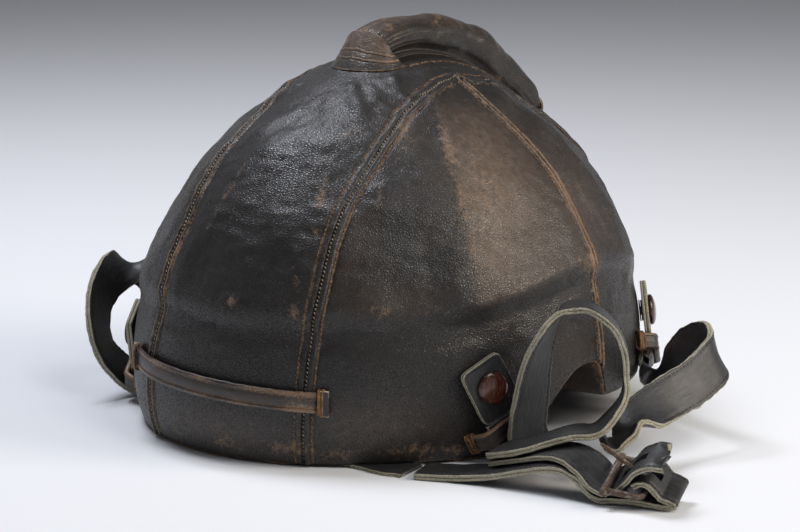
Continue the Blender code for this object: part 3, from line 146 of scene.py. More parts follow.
def outward(points):
    """Unit vectors square to the shell."""
    step = 0.2 * MM
    return unit(np.stack([above_shell(points + axis * step) - above_shell(points - axis * step)
                          for axis in np.eye(3)], -1))


def place_names(points):
    """Azimuth in degrees and height in millimetres of places on the shell."""
    q = toward(points)
    return np.degrees(np.arctan2(-q[..., 0], q[..., 1])), points[..., 2] / MM


def smooth_path(points, count):
    """A Catmull-Rom line through the points, read at even steps of the point number."""
    points = np.asarray(points, float)
    ends = np.vstack([points[0] * 2 - points[1], points, points[-1] * 2 - points[-2]])
    place = np.linspace(0, len(points) - 1, count + 1)
    index = np.minimum(place.astype(int), len(points) - 2)
    t = (place - index)[:, None]
    a, b, c, d = (ends[index + step] for step in range(4))
    return 0.5 * (2 * b + (c - a) * t + (2 * a - 5 * b + 4 * c - d) * t * t
                  + (3 * b - a - 3 * c + d) * t * t * t)


SPAN_PER_DEGREE = (SHELL_HALF_WIDTH + SHELL_HALF_LENGTH) * pi / 360
edge_rows = [(azimuth * SPAN_PER_DEGREE, EAR_ARCH_HEIGHT * arch + TEMPLE_LIFT * temple)
             for azimuth, arch, temple in EDGE_LINE]
edge_line = smooth_path(edge_rows, 90 * len(edge_rows))
edge_line[:, 1] = np.maximum(edge_line[:, 1], 0.0)
edge_reach = np.linspace(0, 180, 1441) * SPAN_PER_DEGREE


def edge_table(margin):
    """Heights of the line that keeps a margin above the shell's lower edge."""
    if margin <= 0:
        return np.interp(edge_reach, edge_line[:, 0], edge_line[:, 1])
    aside = edge_reach[:, None] - edge_line[None, :, 0]
    arc = np.sqrt(np.maximum(margin ** 2 - aside ** 2, 0))
    lift = np.where(np.abs(aside) < margin, edge_line[None, :, 1] + arc, 0)
    return lift.max(1)


edge_tables = {}


def edge_height(azimuth, margin):
    """Height of the shell's lower edge round the azimuth, with a margin over it."""
    if margin not in edge_tables:
        edge_tables[margin] = edge_table(margin)
    wrapped = np.abs((np.asarray(azimuth, float) + 180) % 360 - 180)
    return np.interp(wrapped * SPAN_PER_DEGREE, edge_reach, edge_tables[margin])


def seam_azimuth(seam, height):
    """Azimuth of a seam, named by its kind and its side, at a height share."""
    return np.interp(height, *np.array(SEAM_TABLES[seam]).T)


def even_line(points, step):
    """The line again with its points an even step apart."""
    run = np.concatenate([[0.0], np.cumsum(np.linalg.norm(np.diff(points, axis=0), axis=1))])
    count = max(2, int(round(run[-1] / step)))
    marks = np.linspace(0, run[-1], count + 1)
    return np.stack([np.interp(marks, run, points[:, axis]) for axis in range(3)], -1)


def seam_line(seam):
    heights = np.linspace(0.005, JUNCTION, 600)
    low = edge_height(seam_azimuth(seam, heights[:1]), 0.0)[0] / SHELL_HEIGHT
    heights = heights[heights > low + 0.004]
    return even_line(on_dome(direction_at(seam[1] * seam_azimuth(seam, heights), heights)), 0.5 * MM)


SEAMS = {seam: seam_line(seam) for seam in SEAM_TABLES}


def distance_to(points, line):
    """Shortest distance in millimetres from each point to a line of points."""
    best = np.full(len(points), 1e9)
    for start in range(0, len(points), 4000):
        part = points[start:start + 4000]
        gap = part[:, None, :] - line[None, ::2, :]
        best[start:start + 4000] = np.sqrt((gap ** 2).sum(-1).min(1))
    return best / MM


def waves(points, length_mm, count, seed):
    """Soft unevenness from a few dozen waves of about one length."""
    source = np.random.default_rng(seed)
    total = np.zeros(points.shape[:-1])
    for _ in range(count):
        heading = unit(source.normal(size=3))
        length = length_mm * MM * source.uniform(0.7, 1.45)
        total += np.sin(points @ heading * tau / length + source.uniform(0, tau))
    return total / np.sqrt(count / 2)


def hill(x, middle, width):
    return np.exp(-((x - middle) / width) ** 2)


# Materials
def linear(text):
    """Linear colour of an sRGB hex value."""
    values = [int(text[i:i + 2], 16) / 255 for i in (1, 3, 5)]
    return tuple(v / 12.92 if v <= 0.04045 else ((v + 0.055) / 1.055) ** 2.4 for v in values) + (1.0,)


def per_mm(size):
    """Pattern scale whose cells are that many millimetres."""
    return 1000.0 / size


def add(tree, kind, settings=None, links=None):
    """A node with its settings and its links, by input name or number."""
    made = tree.nodes.new(kind)
    for key, value in (settings or {}).items():
        if isinstance(key, int) or key[0].isupper():
            made.inputs[key].default_value = linear(value) if isinstance(value, str) else value
        else:
            setattr(made, key, value)
    for key, socket in (links or {}).items():
        tree.links.new(made.inputs[key], socket)
    return made


def new_finish(name, **settings):
    """A material with its shader; the settings are the shader's own values."""
    made = bpy.data.materials.new(name)
    made.use_nodes = True
    tree = made.node_tree
    shader = tree.nodes["Principled BSDF"]
    for key, value in settings.items():
        shader.inputs[key.replace("_", " ").title().replace("Ior", "IOR")].default_value = value
    coords = add(tree, "ShaderNodeTexCoord").outputs["Object"]
    return made, tree, shader, coords


def noise(tree, coords, size, detail=3.0, rough=0.55, twist=0.0):
    settings = {"Scale": per_mm(size), "Detail": detail, "Roughness": rough, "Distortion": twist}
    return add(tree, "ShaderNodeTexNoise", settings, {"Vector": coords}).outputs["Fac"]


def attribute(tree, name):
    return add(tree, "ShaderNodeAttribute", {"attribute_name": name}).outputs["Fac"]


def joined(tree, kind, settings, inputs, output=0):
    """A node whose inputs, by number, are constants, hex colours or other nodes' outputs."""
    constants = {index: value for index, value in inputs.items() if isinstance(value, (int, float, str))}
    links = {index: value for index, value in inputs.items() if index not in constants}
    return add(tree, kind, {**settings, **constants}, links).outputs[output]


def math(tree, operation, first, second, clamp=False):
    settings = {"operation": operation, "use_clamp": clamp}
    return joined(tree, "ShaderNodeMath", settings, {0: first, 1: second})


def mix(tree, share, first, second):
    """A colour between two others."""
    return joined(tree, "ShaderNodeMix", {"data_type": "RGBA"}, {0: share, 6: first, 7: second}, 2)


def spread(tree, value, low, high, to_low=0.0, to_high=1.0):
    """A value's range from low to high drawn out to another range, and held at its ends."""
    limits = {"From Min": low, "From Max": high, "To Min": to_low, "To Max": to_high}
    return add(tree, "ShaderNodeMapRange", limits, {"Value": value}).outputs["Result"]


def uneven_cells(tree, coords, size, drift_size, drift_detail, drift_share):
    """Distance to the edges of irregular cells, whose sizes are in mm."""
    drift = add(tree, "ShaderNodeTexNoise", {"Scale": per_mm(drift_size), "Detail": drift_detail},
                {"Vector": coords}).outputs["Color"]
    moved = joined(tree, "ShaderNodeMix", {"data_type": "VECTOR"}, {0: drift_share, 4: coords, 5: drift}, 1)
    return add(tree, "ShaderNodeTexVoronoi", {"Scale": per_mm(size), "feature": "DISTANCE_TO_EDGE"},
               {"Vector": moved}).outputs["Distance"]


def stretched(tree, coords, scale, turn=(0.0, 0.0, 0.0)):
    """The coordinates turned and scaled, so that a pattern runs out into streaks."""
    made = add(tree, "ShaderNodeMapping", {"Rotation": turn, "Scale": scale}, {"Vector": coords})
    return made.outputs["Vector"]


def bumps(tree, shader, layers):
    """Bump heights laid over one another: each is a value, its strength and its depth in mm."""
    normal = None
    for value, strength, depth in layers:
        links = {"Height": value}
        if normal is not None:
            links["Normal"] = normal
        made = add(tree, "ShaderNodeBump", {"Strength": strength, "Distance": depth * MM}, links)
        normal = made.outputs["Normal"]
    tree.links.new(shader.inputs["Normal"], normal)
    tree.links.new(shader.inputs["Coat Normal"], normal)


def pebbled_cowhide(name, dark, mid, light, worn, bright, grain=1.25, grain_depth=0.085, wear_gain=0.92):
    """Chrome-tanned cowhide, plated with a pebble grain and waxed: the light catches its
    small round pebbles, and it turns tan where the dyed skin is rubbed through."""
    made, tree, shader, coords = new_finish(name, roughness=0.4, specular_ior_level=0.5, coat_weight=0.10,
                                            coat_roughness=0.42)
    cells = uneven_cells(tree, coords, grain, 2.6, 2.0, 0.0007)
    pebble = spread(tree, cells, 0.02, 0.46)
    pebble.node.interpolation_type = "SMOOTHSTEP"
    fold_line = spread(tree, uneven_cells(tree, coords, 11.0, 9.0, 3.0, 0.004), 0.0, 0.035)
    broad = noise(tree, coords, 34.0, 5.0, 0.6, 0.4)
    fine = noise(tree, coords, 3.2, 5.0, 0.62)
    speck = noise(tree, coords, 0.9, 3.0, 0.7)
    base = mix(tree, spread(tree, broad, 0.36, 0.66), dark, mid)
    base = mix(tree, math(tree, "MULTIPLY", spread(tree, fine, 0.52, 0.74), 0.42), base, light)
    # Painted shade: the grain's pits are darkened in the colour, as if shade lay in them.
    base = mix(tree, spread(tree, cells, 0.03, 0.22, 0.95, 0.0), base, "#060504")
    wear = attribute(tree, "wear")
    # This attribute pales the hide towards its worn colour below. It holds real rubbed patches, and also
    # painted highlight and painted shade on the crest's hoods and the plates' facets.
    rub_and_painted_light = attribute(tree, "rub_and_painted_light")
    rub_and_light_share = math(tree, "MULTIPLY", rub_and_painted_light, spread(tree, fine, 0.3, 0.62, 0.45, 1.0), True)
    base = mix(tree, rub_and_light_share, base, worn)
    ragged = math(tree, "MULTIPLY", wear, wear_gain)
    ragged = math(tree, "ADD", ragged, spread(tree, fine, 0.2, 0.8, -0.42, 0.42))
    ragged = math(tree, "ADD", ragged, spread(tree, speck, 0.25, 0.75, -0.22, 0.22))
    through = spread(tree, ragged, 0.36, 0.86)
    tan = mix(tree, spread(tree, speck, 0.3, 0.75), worn, bright)
    base = mix(tree, through, base, tan)
    scuffs = noise(tree, stretched(tree, coords, (1.0, 0.16, 1.0), (0.4, 0.2, 0.7)), 2.2, 2.0, 0.5)
    base = mix(tree, math(tree, "MULTIPLY", spread(tree, scuffs, 0.69, 0.77), 0.30), base, worn)
    tree.links.new(shader.inputs["Base Color"], base)
    rough = spread(tree, broad, 0.32, 0.68, 0.28, 0.37)
    rough = math(tree, "ADD", rough, math(tree, "MULTIPLY", through, 0.24))
    rough = math(tree, "ADD", rough, spread(tree, cells, 0.03, 0.17, 0.40, 0.0))
    tree.links.new(shader.inputs["Coat Weight"], spread(tree, through, 0.0, 1.0, 0.10, 0.02))
    tree.links.new(shader.inputs["Roughness"], rough)
    drawn = noise(tree, coords, 7.0, 1.5, 0.5)
    bumps(tree, shader, [(fold_line, 0.4, 0.10), (drawn, 0.8, 0.30), (pebble, 1.0, grain_depth)])
    return made


# The panels' hide: black dyed skin gone brown and grey with age
PANEL_HIDE = pebbled_cowhide("cowhide_pebbled_waxed", "#1e1b19", "#2d2824", "#4a4139", "#705e4f", "#987a5c")
# The same hide where the hand and the weather work it most
CREST_HIDE = pebbled_cowhide("cowhide_crest_weathered", "#1f1a15", "#30271f", "#4a3d32", "#715942",
                             "#9a7650", grain=1.0, grain_depth=0.06)
# The turned lower edge, rubbed on whatever the helmet stands on
EDGE_HIDE = pebbled_cowhide("cowhide_turned_edge", "#1d1917", "#2a241f", "#41362c", "#6b543f", "#9a7650",
                            grain=1.0, grain_depth=0.05)


def strap_hide(name, face, face_light, raw, raw_dark):
    """Vegetable-tanned strap leather in two layers: smooth grey waxed faces, and raw edges
    whose pale fibres and the dark line between the layers show."""
    made, tree, shader, coords = new_finish(name, roughness=0.5, specular_ior_level=0.5)
    edge = attribute(tree, "edge")
    wear = attribute(tree, "wear")
    lay = add(tree, "ShaderNodeAttribute", {"attribute_name": "lay"}).outputs["Vector"]
    broad = noise(tree, coords, 22.0, 4.0, 0.6)
    streak = noise(tree, stretched(tree, lay, (1.0, 0.25, 1.0)), 1.6, 4.0, 0.6)
    fine = noise(tree, coords, 1.3, 4.0, 0.7)
    fibre = noise(tree, coords, 0.55, 3.0, 0.8)
    smooth = mix(tree, spread(tree, broad, 0.34, 0.68), face, face_light)
    smooth = mix(tree, math(tree, "MULTIPLY", spread(tree, streak, 0.48, 0.74), 0.6), smooth, "#4a4a4a")
    smooth = mix(tree, math(tree, "MULTIPLY", spread(tree, fine, 0.6, 0.8), 0.4), smooth, "#1d1b19")
    worn = math(tree, "ADD", wear, spread(tree, fine, 0.2, 0.8, -0.45, 0.45))
    smooth = mix(tree, spread(tree, worn, 0.42, 0.85), smooth, "#80664e")
    pale = mix(tree, spread(tree, fibre, 0.32, 0.66), raw_dark, raw)
    soft_edge = math(tree, "ADD", edge, spread(tree, fine, 0.2, 0.8, -0.22, 0.22))
    shown = spread(tree, soft_edge, 0.42, 0.62)
    base = mix(tree, shown, smooth, pale)
    core = attribute(tree, "core")
    base = mix(tree, spread(tree, core, 0.35, 0.8), base, "#1b1813")
    tree.links.new(shader.inputs["Base Color"], base)
    rough = spread(tree, broad, 0.3, 0.7, 0.34, 0.48)
    rough = math(tree, "ADD", rough, math(tree, "MULTIPLY", shown, 0.42), True)
    tree.links.new(shader.inputs["Roughness"], rough)
    nap = math(tree, "MULTIPLY", fibre, math(tree, "ADD", math(tree, "MULTIPLY", shown, 1.6), 0.3))
    bumps(tree, shader, [(nap, 0.8, 0.3), (fine, 0.5, 0.25), (streak, 0.5, 0.25)])
    return made


# Snapped tabs and chin straps, grey-black faces with pale green-grey raw edges
STRAP_HIDE = strap_hide("strap_leather_waxed", "#1f1f20", "#303031", "#cfc8b2", "#6a664f")
# Loops that hold the straps, brown and rubbed to an orange tan along their folds
LOOP_HIDE = strap_hide("loop_leather_brown", "#2c2420", "#463b33", "#9b7a52", "#4a3626")


def smooth_leather(name, dark, light, size):
    """Sheepskin lining leather: matt, soft and creased, darkened where the head rubs it."""
    made, tree, shader, coords = new_finish(name, roughness=0.72, specular_ior_level=0.35, sheen_weight=0.2)
    broad = noise(tree, coords, 30.0, 4.0, 0.6)
    fine = noise(tree, coords, size, 5.0, 0.65)
    base = mix(tree, spread(tree, broad, 0.3, 0.7), dark, light)
    base = mix(tree, math(tree, "MULTIPLY", spread(tree, fine, 0.5, 0.8), 0.5), base, "#2a1e16")
    tree.links.new(shader.inputs["Base Color"], base)
    bumps(tree, shader, [(fine, 0.5, 0.25), (broad, 0.4, 0.8)])
    return made


LINING_HIDE = smooth_leather("sheepskin_lining", "#4a3527", "#6b5140", 1.6)
SWEATBAND_HIDE = smooth_leather("sweatband_leather", "#3a2a20", "#5a4232", 1.1)


def stove_enamel():
    """Stove enamel on a pressed brass cap: glossy oxblood with brown streaks and fine
    scratches from years of thumbs."""
    made, tree, shader, coords = new_finish("stove_enamel_oxblood", roughness=0.32, coat_weight=0.3,
                                            coat_roughness=0.16)
    streaks = noise(tree, stretched(tree, coords, (1.0, 1.0, 0.22)), 0.9, 4.0, 0.65)
    cloud = noise(tree, coords, 5.0, 3.0)
    base = mix(tree, spread(tree, streaks, 0.35, 0.7), "#37180f", "#6f4030")
    base = mix(tree, spread(tree, cloud, 0.45, 0.75), base, "#4e261c")
    base = mix(tree, spread(tree, attribute(tree, "wear"), 0.5, 1.0), base, "#2a1512")
    tree.links.new(shader.inputs["Base Color"], base)
    tree.links.new(shader.inputs["Roughness"], spread(tree, streaks, 0.3, 0.75, 0.14, 0.34))
    bumps(tree, shader, [(streaks, 0.12, 0.05)])
    return made


ENAMEL = stove_enamel()


def rusted(name, bare, rust_dark, rust_light, cover):
    """Drawn steel left to rust: dark brown scale with orange bloom, and patches of bare metal that still
    shine."""
    made, tree, shader, coords = new_finish(name, metallic=0.0)
    crust = noise(tree, coords, 1.1, 6.0, 0.7)
    cloud = noise(tree, coords, 4.0, 4.0, 0.6)
    rust = mix(tree, spread(tree, crust, 0.35, 0.68), rust_dark, rust_light)
    shown = spread(tree, math(tree, "ADD", crust, math(tree, "MULTIPLY", cloud, 0.6)), cover, cover + 0.16)
    base = mix(tree, shown, bare, rust)
    tree.links.new(shader.inputs["Base Color"], base)
    tree.links.new(shader.inputs["Metallic"], spread(tree, shown, 0.0, 1.0, 0.85, 0.05))
    tree.links.new(shader.inputs["Roughness"], spread(tree, shown, 0.0, 1.0, 0.38, 0.82))
    bumps(tree, shader, [(crust, 0.6, 0.22)])
    return made


BUCKLE_STEEL = rusted("steel_wire_rusted", "#7d746c", "#2a221d", "#65482f", 0.70)
STUD_STEEL = rusted("stud_steel_tarnished", "#7a7068", "#3a2c22", "#6d4a30", 0.80)
# Cold rolled plate, oiled and dull, with a few rust freckles
PLATE_STEEL = rusted("sheet_steel_rolled", "#5d5f61", "#3f3a36", "#6a4a33", 0.98)


def felted(name, dark, light):
    """Pressed wool felt: no gloss, a nap of short crossing hairs."""
    made, tree, shader, coords = new_finish(name, roughness=0.95, specular_ior_level=0.15, sheen_weight=0.5)
    hair = noise(tree, coords, 0.7, 5.0, 0.75, 1.5)
    broad = noise(tree, coords, 16.0, 3.0)
    base = mix(tree, spread(tree, hair, 0.35, 0.68), dark, light)
    base = mix(tree, spread(tree, broad, 0.4, 0.8, 0.0, 0.4), base, dark)
    tree.links.new(shader.inputs["Base Color"], base)
    bumps(tree, shader, [(hair, 0.8, 0.4)])
    return made


FELT = felted("wool_felt_grey", "#4a4d44", "#71746a")


def waxed_thread(name, dark, light):
    """Waxed linen thread: dull, ribbed by its twist, darkened by dirt."""
    made, tree, shader, coords = new_finish(name, roughness=0.7, specular_ior_level=0.3)
    grime = noise(tree, coords, 2.5, 4.0, 0.6)
    twist = noise(tree, coords, 0.35, 2.0, 0.6)
    base = mix(tree, spread(tree, grime, 0.35, 0.65), dark, light)
    tree.links.new(shader.inputs["Base Color"], base)
    bumps(tree, shader, [(twist, 0.5, 0.08)])
    return made


PALE_THREAD = waxed_thread("linen_thread_pale", "#6a5b48", "#b3a488")
TAN_THREAD = waxed_thread("linen_thread_tan", "#4c3627", "#97734f")
DARK_THREAD = waxed_thread("linen_thread_dark", "#24211d", "#45403a")


# Pieces
def finish_piece(mesh, name, finish, body, replaces=()):
    """A visible piece: its mesh with a finish, riding on a body in place of solids."""
    piece = bpy.data.objects.new(name, mesh)
    bpy.context.scene.collection.objects.link(piece)
    mesh.materials.clear()
    mesh.materials.append(finish)
    mesh.shade_smooth()
    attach(piece, body)
    if replaces:
        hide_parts(*replaces)
    return piece


def moved_grid(name, columns, rows, place):
    """A flat grid whose points are moved to where place(u, v) says, with what it marks."""
    bm = bmesh.new()
    bmesh.ops.create_grid(bm, x_segments=columns, y_segments=rows, size=0.5)
    mesh = bpy.data.meshes.new(name)
    bm.to_mesh(mesh)
    bm.free()
    flat = np.empty(len(mesh.vertices) * 3)
    mesh.vertices.foreach_get("co", flat)
    u = np.rint((flat[0::3] + 0.5) * columns) / columns
    v = np.rint((flat[1::3] + 0.5) * rows) / rows
    points, marks = place(u, v)
    mesh.vertices.foreach_set("co", points.astype(np.float32).ravel())
    for key, values in marks.items():
        kind = "FLOAT_VECTOR" if values.ndim == 2 else "FLOAT"
        layer = mesh.attributes.new(key, kind, "POINT")
        layer.data.foreach_set("vector" if values.ndim == 2 else "value", values.astype(np.float32).ravel())
    mesh.update()
    return mesh


def closed_up(mesh, join=0.00002):
    """Joins a wrapped grid where it meets itself, fills its ends and turns its faces out."""
    bm = bmesh.new()
    bm.from_mesh(mesh)
    bmesh.ops.remove_doubles(bm, verts=bm.verts, dist=join)
    open_edges = [edge for edge in bm.edges if edge.is_boundary]
    if open_edges:
        bmesh.ops.holes_fill(bm, edges=open_edges, sides=0)
    bmesh.ops.recalc_face_normals(bm, faces=bm.faces)
    bm.to_mesh(mesh)
    bm.free()
    return mesh


def wall(piece, thickness, outwards=False):
    """Gives a sheet its thickness, inwards unless said."""
    change = piece.modifiers.new("wall", "SOLIDIFY")
    change.thickness = thickness
    change.offset = 1.0 if outwards else -1.0


def many(name, base, places, finish, body):
    """Copies of one small mesh, each with its own matrix, as a single piece."""
    points = np.array([v.co for v in base.vertices])
    faces = [tuple(p.vertices) for p in base.polygons]
    every = []
    rings = []
    for index, matrix in enumerate(places):
        turn = np.array(matrix)
        every.append(points @ turn[:3, :3].T + turn[:3, 3])
        rings += [tuple(v + index * len(points) for v in ring) for ring in faces]
    mesh = bpy.data.meshes.new(name)
    mesh.from_pydata(np.vstack(every).tolist(), [], rings)
    mesh.update()
    return finish_piece(mesh, name, finish, body)


def stitch_shape():
    """One stitch: a short plump capsule that lies along X."""
    bm = bmesh.new()
    bmesh.ops.create_uvsphere(bm, u_segments=6, v_segments=4, radius=0.5)
    bmesh.ops.rotate(bm, verts=bm.verts, matrix=Matrix.Rotation(radians(90), 3, "Y"))
    mesh = bpy.data.meshes.new("stitch")
    bm.to_mesh(mesh)
    bm.free()
    return mesh


STITCH = stitch_shape()


def stitch_places(line, normals, pitch, length, width, tilt=0.0):
    """Matrices of stitches set at even steps along a line, lying on it."""
    run = np.concatenate([[0.0], np.cumsum(np.linalg.norm(np.diff(line, axis=0), axis=1))])
    marks = np.arange(pitch * 0.5, run[-1] - pitch * 0.3, pitch)
    middles = np.stack([np.interp(marks, run, line[:, axis]) for axis in range(3)], -1)
    ahead = np.stack([np.interp(marks + pitch * 0.3, run, line[:, axis]) for axis in range(3)], -1)
    ups = unit(np.stack([np.interp(marks, run, normals[:, axis]) for axis in range(3)], -1))
    places = []
    for middle, front, up in zip(middles, ahead, ups):
        along = unit(front - middle)
        side = unit(np.cross(up, along))
        along = np.cos(tilt) * along + np.sin(tilt) * side
        side = unit(np.cross(up, along))
        matrix = np.eye(4)
        size = length * rng.uniform(0.86, 1.1)
        matrix[:3, 0] = along * size
        matrix[:3, 1] = side * width * rng.uniform(0.85, 1.15)
        matrix[:3, 2] = np.cross(along, side) * width * 0.8
        matrix[:3, 3] = middle
        places.append(matrix)
    return places


# Where the hide is worn through and where it is only rubbed pale: azimuth, height, half
# width and half height in mm, and strength
WEAR_MARKS = [(26, 123, 4, 9, 0.75), (27, 107, 3, 5, 0.6), (25, 87, 3, 4, 0.5), (-6, 122, 2.5, 22, 0.55),
              (0, 112, 2, 16, 0.4), (50, 148, 4, 9, 0.5), (42, 124, 3, 12, 0.5), (9, 76, 4, 4, 0.6),
              (25, 73, 4, 5, 0.6), (23, 10, 14, 4, 0.55), (35, 7, 12, 4, 0.45), (51, 8, 16, 5, 0.5),
              (8, 9, 14, 5, 0.4), (-8, 8, 9, 4, 0.35), (60, 6, 9, 4, 0.5), (44, 74, 9, 3, 0.42),
              (56, 72, 7, 2.5, 0.38), (72, 118, 12, 22, 0.34), (64, 140, 3, 12, 0.75),
              (64, 118, 2.5, 14, 0.6), (64, 98, 3, 10, 0.4), (75, 65, 22, 1.0, 0.75), (76, 62, 18, 0.8, 0.6),
              (96, 84, 8, 5, 0.5), (102, 117, 9, 14, 0.35), (14, 62, 5, 3, 0.3), (52, 20, 10, 8, 0.3),
              (30, 148, 7, 5, 0.35), (13, 160, 6, 4, 0.35), (-14, 96, 3, 12, 0.45), (-30, 60, 12, 9, 0.3),
              (-70, 70, 20, 6, 0.4), (-98, 60, 8, 14, 0.4), (150, 60, 14, 10, 0.35), (180, 90, 16, 20, 0.3),
              (-130, 80, 18, 12, 0.3), (128, 30, 14, 6, 0.4)]
RUB_MARKS = [(73, 122, 24, 26, 0.62), (70, 96, 16, 16, 0.45), (64, 130, 8, 26, 0.50),
             (104, 112, 20, 20, 0.22), (90, 45, 14, 10, 0.30), (45, 20, 34, 12, 0.26), (6, 14, 44, 10, 0.26),
             (36, 100, 14, 24, 0.20), (80, 50, 26, 10, 0.14), (46, 78, 22, 8, 0.30), (-40, 100, 30, 30, 0.2),
             (-85, 110, 24, 26, 0.35), (170, 100, 40, 34, 0.25), (-140, 60, 30, 20, 0.2),
             (52, 148, 12, 10, 0.30)]


def mm_per_degree(points):
    """Length of a degree of azimuth at each place."""
    return np.hypot(points[:, 0], points[:, 1]) / MM * pi / 180


def marked(points, marks):
    """The strongest of the soft oval marks at each place."""
    azimuth, height = place_names(points)
    total = np.zeros(len(points))
    round_mm = mm_per_degree(points)
    for middle, level, half_width, half_height, strength in marks:
        aside = ((azimuth - middle + 180) % 360 - 180) * round_mm
        reach = (aside / half_width) ** 2 + ((height - level) / half_height) ** 2
        total = np.maximum(total, strength * np.exp(-reach))
    return total


def fade(value, low, high):
    t = np.clip((value - low) / (high - low), 0, 1)
    return t * t * (3 - 2 * t)


# Where the crest's strip is sewn down: angle over the crown and half width in millimetres
BASE_SEAM = [(19.6, 2), (19.2, 6), (18.0, 11), (15.5, 16), (12.5, 19.5), (9.0, 21.5), (4.0, 22.5),
             (-2.0, 22.5), (-8.0, 23), (-16.0, 25), (-26.0, 27), (-38.0, 30), (-48.0, 31), (-56.0, 27),
             (-62.0, 17), (-66.0, 6)]


def crown_direction(angle, across):
    """Direction at an angle over the crown, and a distance aside of the middle plane."""
    turn = np.radians(angle)
    aside = across / (SHELL_HALF_WIDTH * polar_radius(radians(90) - turn))
    return np.stack([aside, np.sin(turn), np.cos(turn)], -1)


def crown_frames(angle):
    """Feet on the leather and the ways up from them, in the middle plane."""
    angle = np.asarray(angle, float)
    foot = on_dome(crown_direction(angle, 0 * angle))
    along = on_dome(crown_direction(angle + 1, 0 * angle)) - on_dome(crown_direction(angle - 1, 0 * angle))
    up = unit(np.cross(np.array([1.0, 0, 0]), along))
    return foot, up


base_rows = smooth_path(BASE_SEAM, 200)
base_right = on_dome(crown_direction(base_rows[:, 0], -base_rows[:, 1] * MM))
base_left = on_dome(crown_direction(base_rows[:, 0], base_rows[:, 1] * MM))
BASE_LINE = even_line(np.vstack([base_right, base_left[::-1]]), 0.5 * MM)
# Folds in the leather beside the crest: ends as azimuth and height, then width and rise in mm
FOLDS = [((24, 169), (37, 159), 2.4, -0.9), ((18, 168), (31, 157), 3.4, 1.5),
         ((36, 174.0), (50, 165.5), 2.2, -0.9), ((44, 171), (55, 160), 2.8, 1.4),
         ((10, 163), (20, 152), 4.8, 1.2), ((34, 163), (44, 158), 3.2, 1.2),
         ((2, 164), (-12, 150), 5.0, 1.1),
         ((60, 155), (75, 150), 4.0, 0.8), ((-30, 165), (-44, 152), 3.0, 1.1),
         ((30, 170), (41, 166), 1.6, -0.6), ((150, 150), (165, 140), 4.0, 1.0),
         ((-150, 152), (-166, 142), 4.0, 1.0)]
# Upright joints between the upper plates: azimuth, then the reach of the ridge's two slopes in mm
PLATE_CORNERS = ((65.0, 22.0, 24.0), (118.0, 20.0, 20.0))
CREASE_RISE = 3.6
CORNER_RISE = 3.1


def roof(aside, low_reach, high_reach):
    """A rounded ridge with straight slopes, from 1 on the line down to 0."""
    reach = np.where(aside < 0, low_reach, high_reach)
    return np.clip(1 - np.sqrt(aside ** 2 + 1.6) / reach, 0, 1)


def crease_height(azimuth):
    """Height in millimetres of the crease over the lower edge of the upper plates."""
    turn = np.abs(azimuth)
    return 72.7 + 11.5 * fade(turn, 60, 97) * (1 - fade(turn, 112, 130))


def plate_form(points):
    """How far, in millimetres, the leather stands off its smooth shape over the plates' joints."""
    azimuth, height = place_names(points)
    turn = np.abs(azimuth)
    crease = crease_height(azimuth)
    strong = 0.62 + 0.5 * hill(turn, 80, 24)
    rise = CREASE_RISE * strong * roof(height - crease, 8.5, 30.0)
    rise -= 0.7 * hill(height, crease - 11, 6.0)
    for corner, near, far in PLATE_CORNERS:
        aside = (turn - corner) * mm_per_degree(points)
        rise += CORNER_RISE * roof(aside, near, far) * fade(height, 70, 84) * (1 - fade(height, 140, 160))
    rise += 0.55 * waves(points, 52, 16, 3) * fade(height, 48, 70)
    rise += 0.28 * waves(points, 21, 18, 5) * (0.25 + 0.75 * fade(height, 45, 66))
    rise += 0.10 * waves(points, 8, 22, 9)
    for (start_turn, start_height), (stop_turn, stop_height), width, depth in FOLDS:
        line = dome_point(np.linspace(start_turn, stop_turn, 30),
                          np.linspace(start_height, stop_height, 30) * MM)
        rise += 0.7 * depth * hill(distance_to(points, line), 0.0, width)
    rise = rise * (0.18 + 0.82 * fade(height, 46, 58))
    near_base = fade(distance_to(points, BASE_LINE), 0.0, 6.0)
    rise = np.where(base_inside(points), 0.0, rise * near_base)
    return np.clip(rise, -0.6, 4.4)


def base_inside(points):
    """Whether places lie on the strip that carries the crest."""
    q = toward(points)
    angle = np.degrees(np.arctan2(q[..., 1], q[..., 2]))
    keys = base_rows[::-1, 0]
    half = np.interp(angle, keys, base_rows[::-1, 1], left=0, right=0)
    return np.abs(points[..., 0]) / MM < half


def seam_profile(kind, side_of_seam, s):
    """Rise in millimetres beside a seam: welt, hem and stitch grooves."""
    if kind == "side":
        return 1.05 * hill(s, 1.5, 0.85) - 0.9 * hill(s, 0.0, 0.55) - 0.45 * hill(s, 3.3, 0.5)
    if side_of_seam == "outer":
        return 1.35 * np.exp(-((s - 2.1) / 1.45) ** 4) - 0.9 * hill(s, 0.0, 0.5) - 0.5 * hill(s, 4.5, 0.55)
    return 0.55 * np.exp(-((s - 2.2) / 1.5) ** 4) - 0.9 * hill(s, 0.0, 0.65) - 0.5 * hill(s, 4.0, 0.55)


def seam_wear(kind, side, side_of_seam, s):
    """How far the hide is rubbed through beside a seam, s being the distance in mm."""
    if kind == "side":
        return 0.86 * hill(s, 1.5, 1.0) + 0.30 * hill(s, 3.3, 0.7)
    if side < 0:
        return 0.62 * hill(s, 2.0, 1.3) + 0.45 * hill(s, 4.3, 0.8)
    if side_of_seam == "outer":
        return 0.16 * hill(s, 2.1, 1.2) + 0.62 * hill(s, 4.5, 0.6)
    return 0.16 * hill(s, 1.6, 1.0) + 0.62 * hill(s, 4.0, 0.7)


# Distances of a panel's first columns from its seams, in mm
OFFSETS = np.array([0, 0.35, 0.7, 1.05, 1.4, 1.8, 2.2, 2.6, 3.0, 3.4, 3.8, 4.2, 4.6, 5.0, 5.6, 6.4, 7.5])
# How far the panels end above the shell's lower edge
PANEL_FOOT = 1.6 * MM


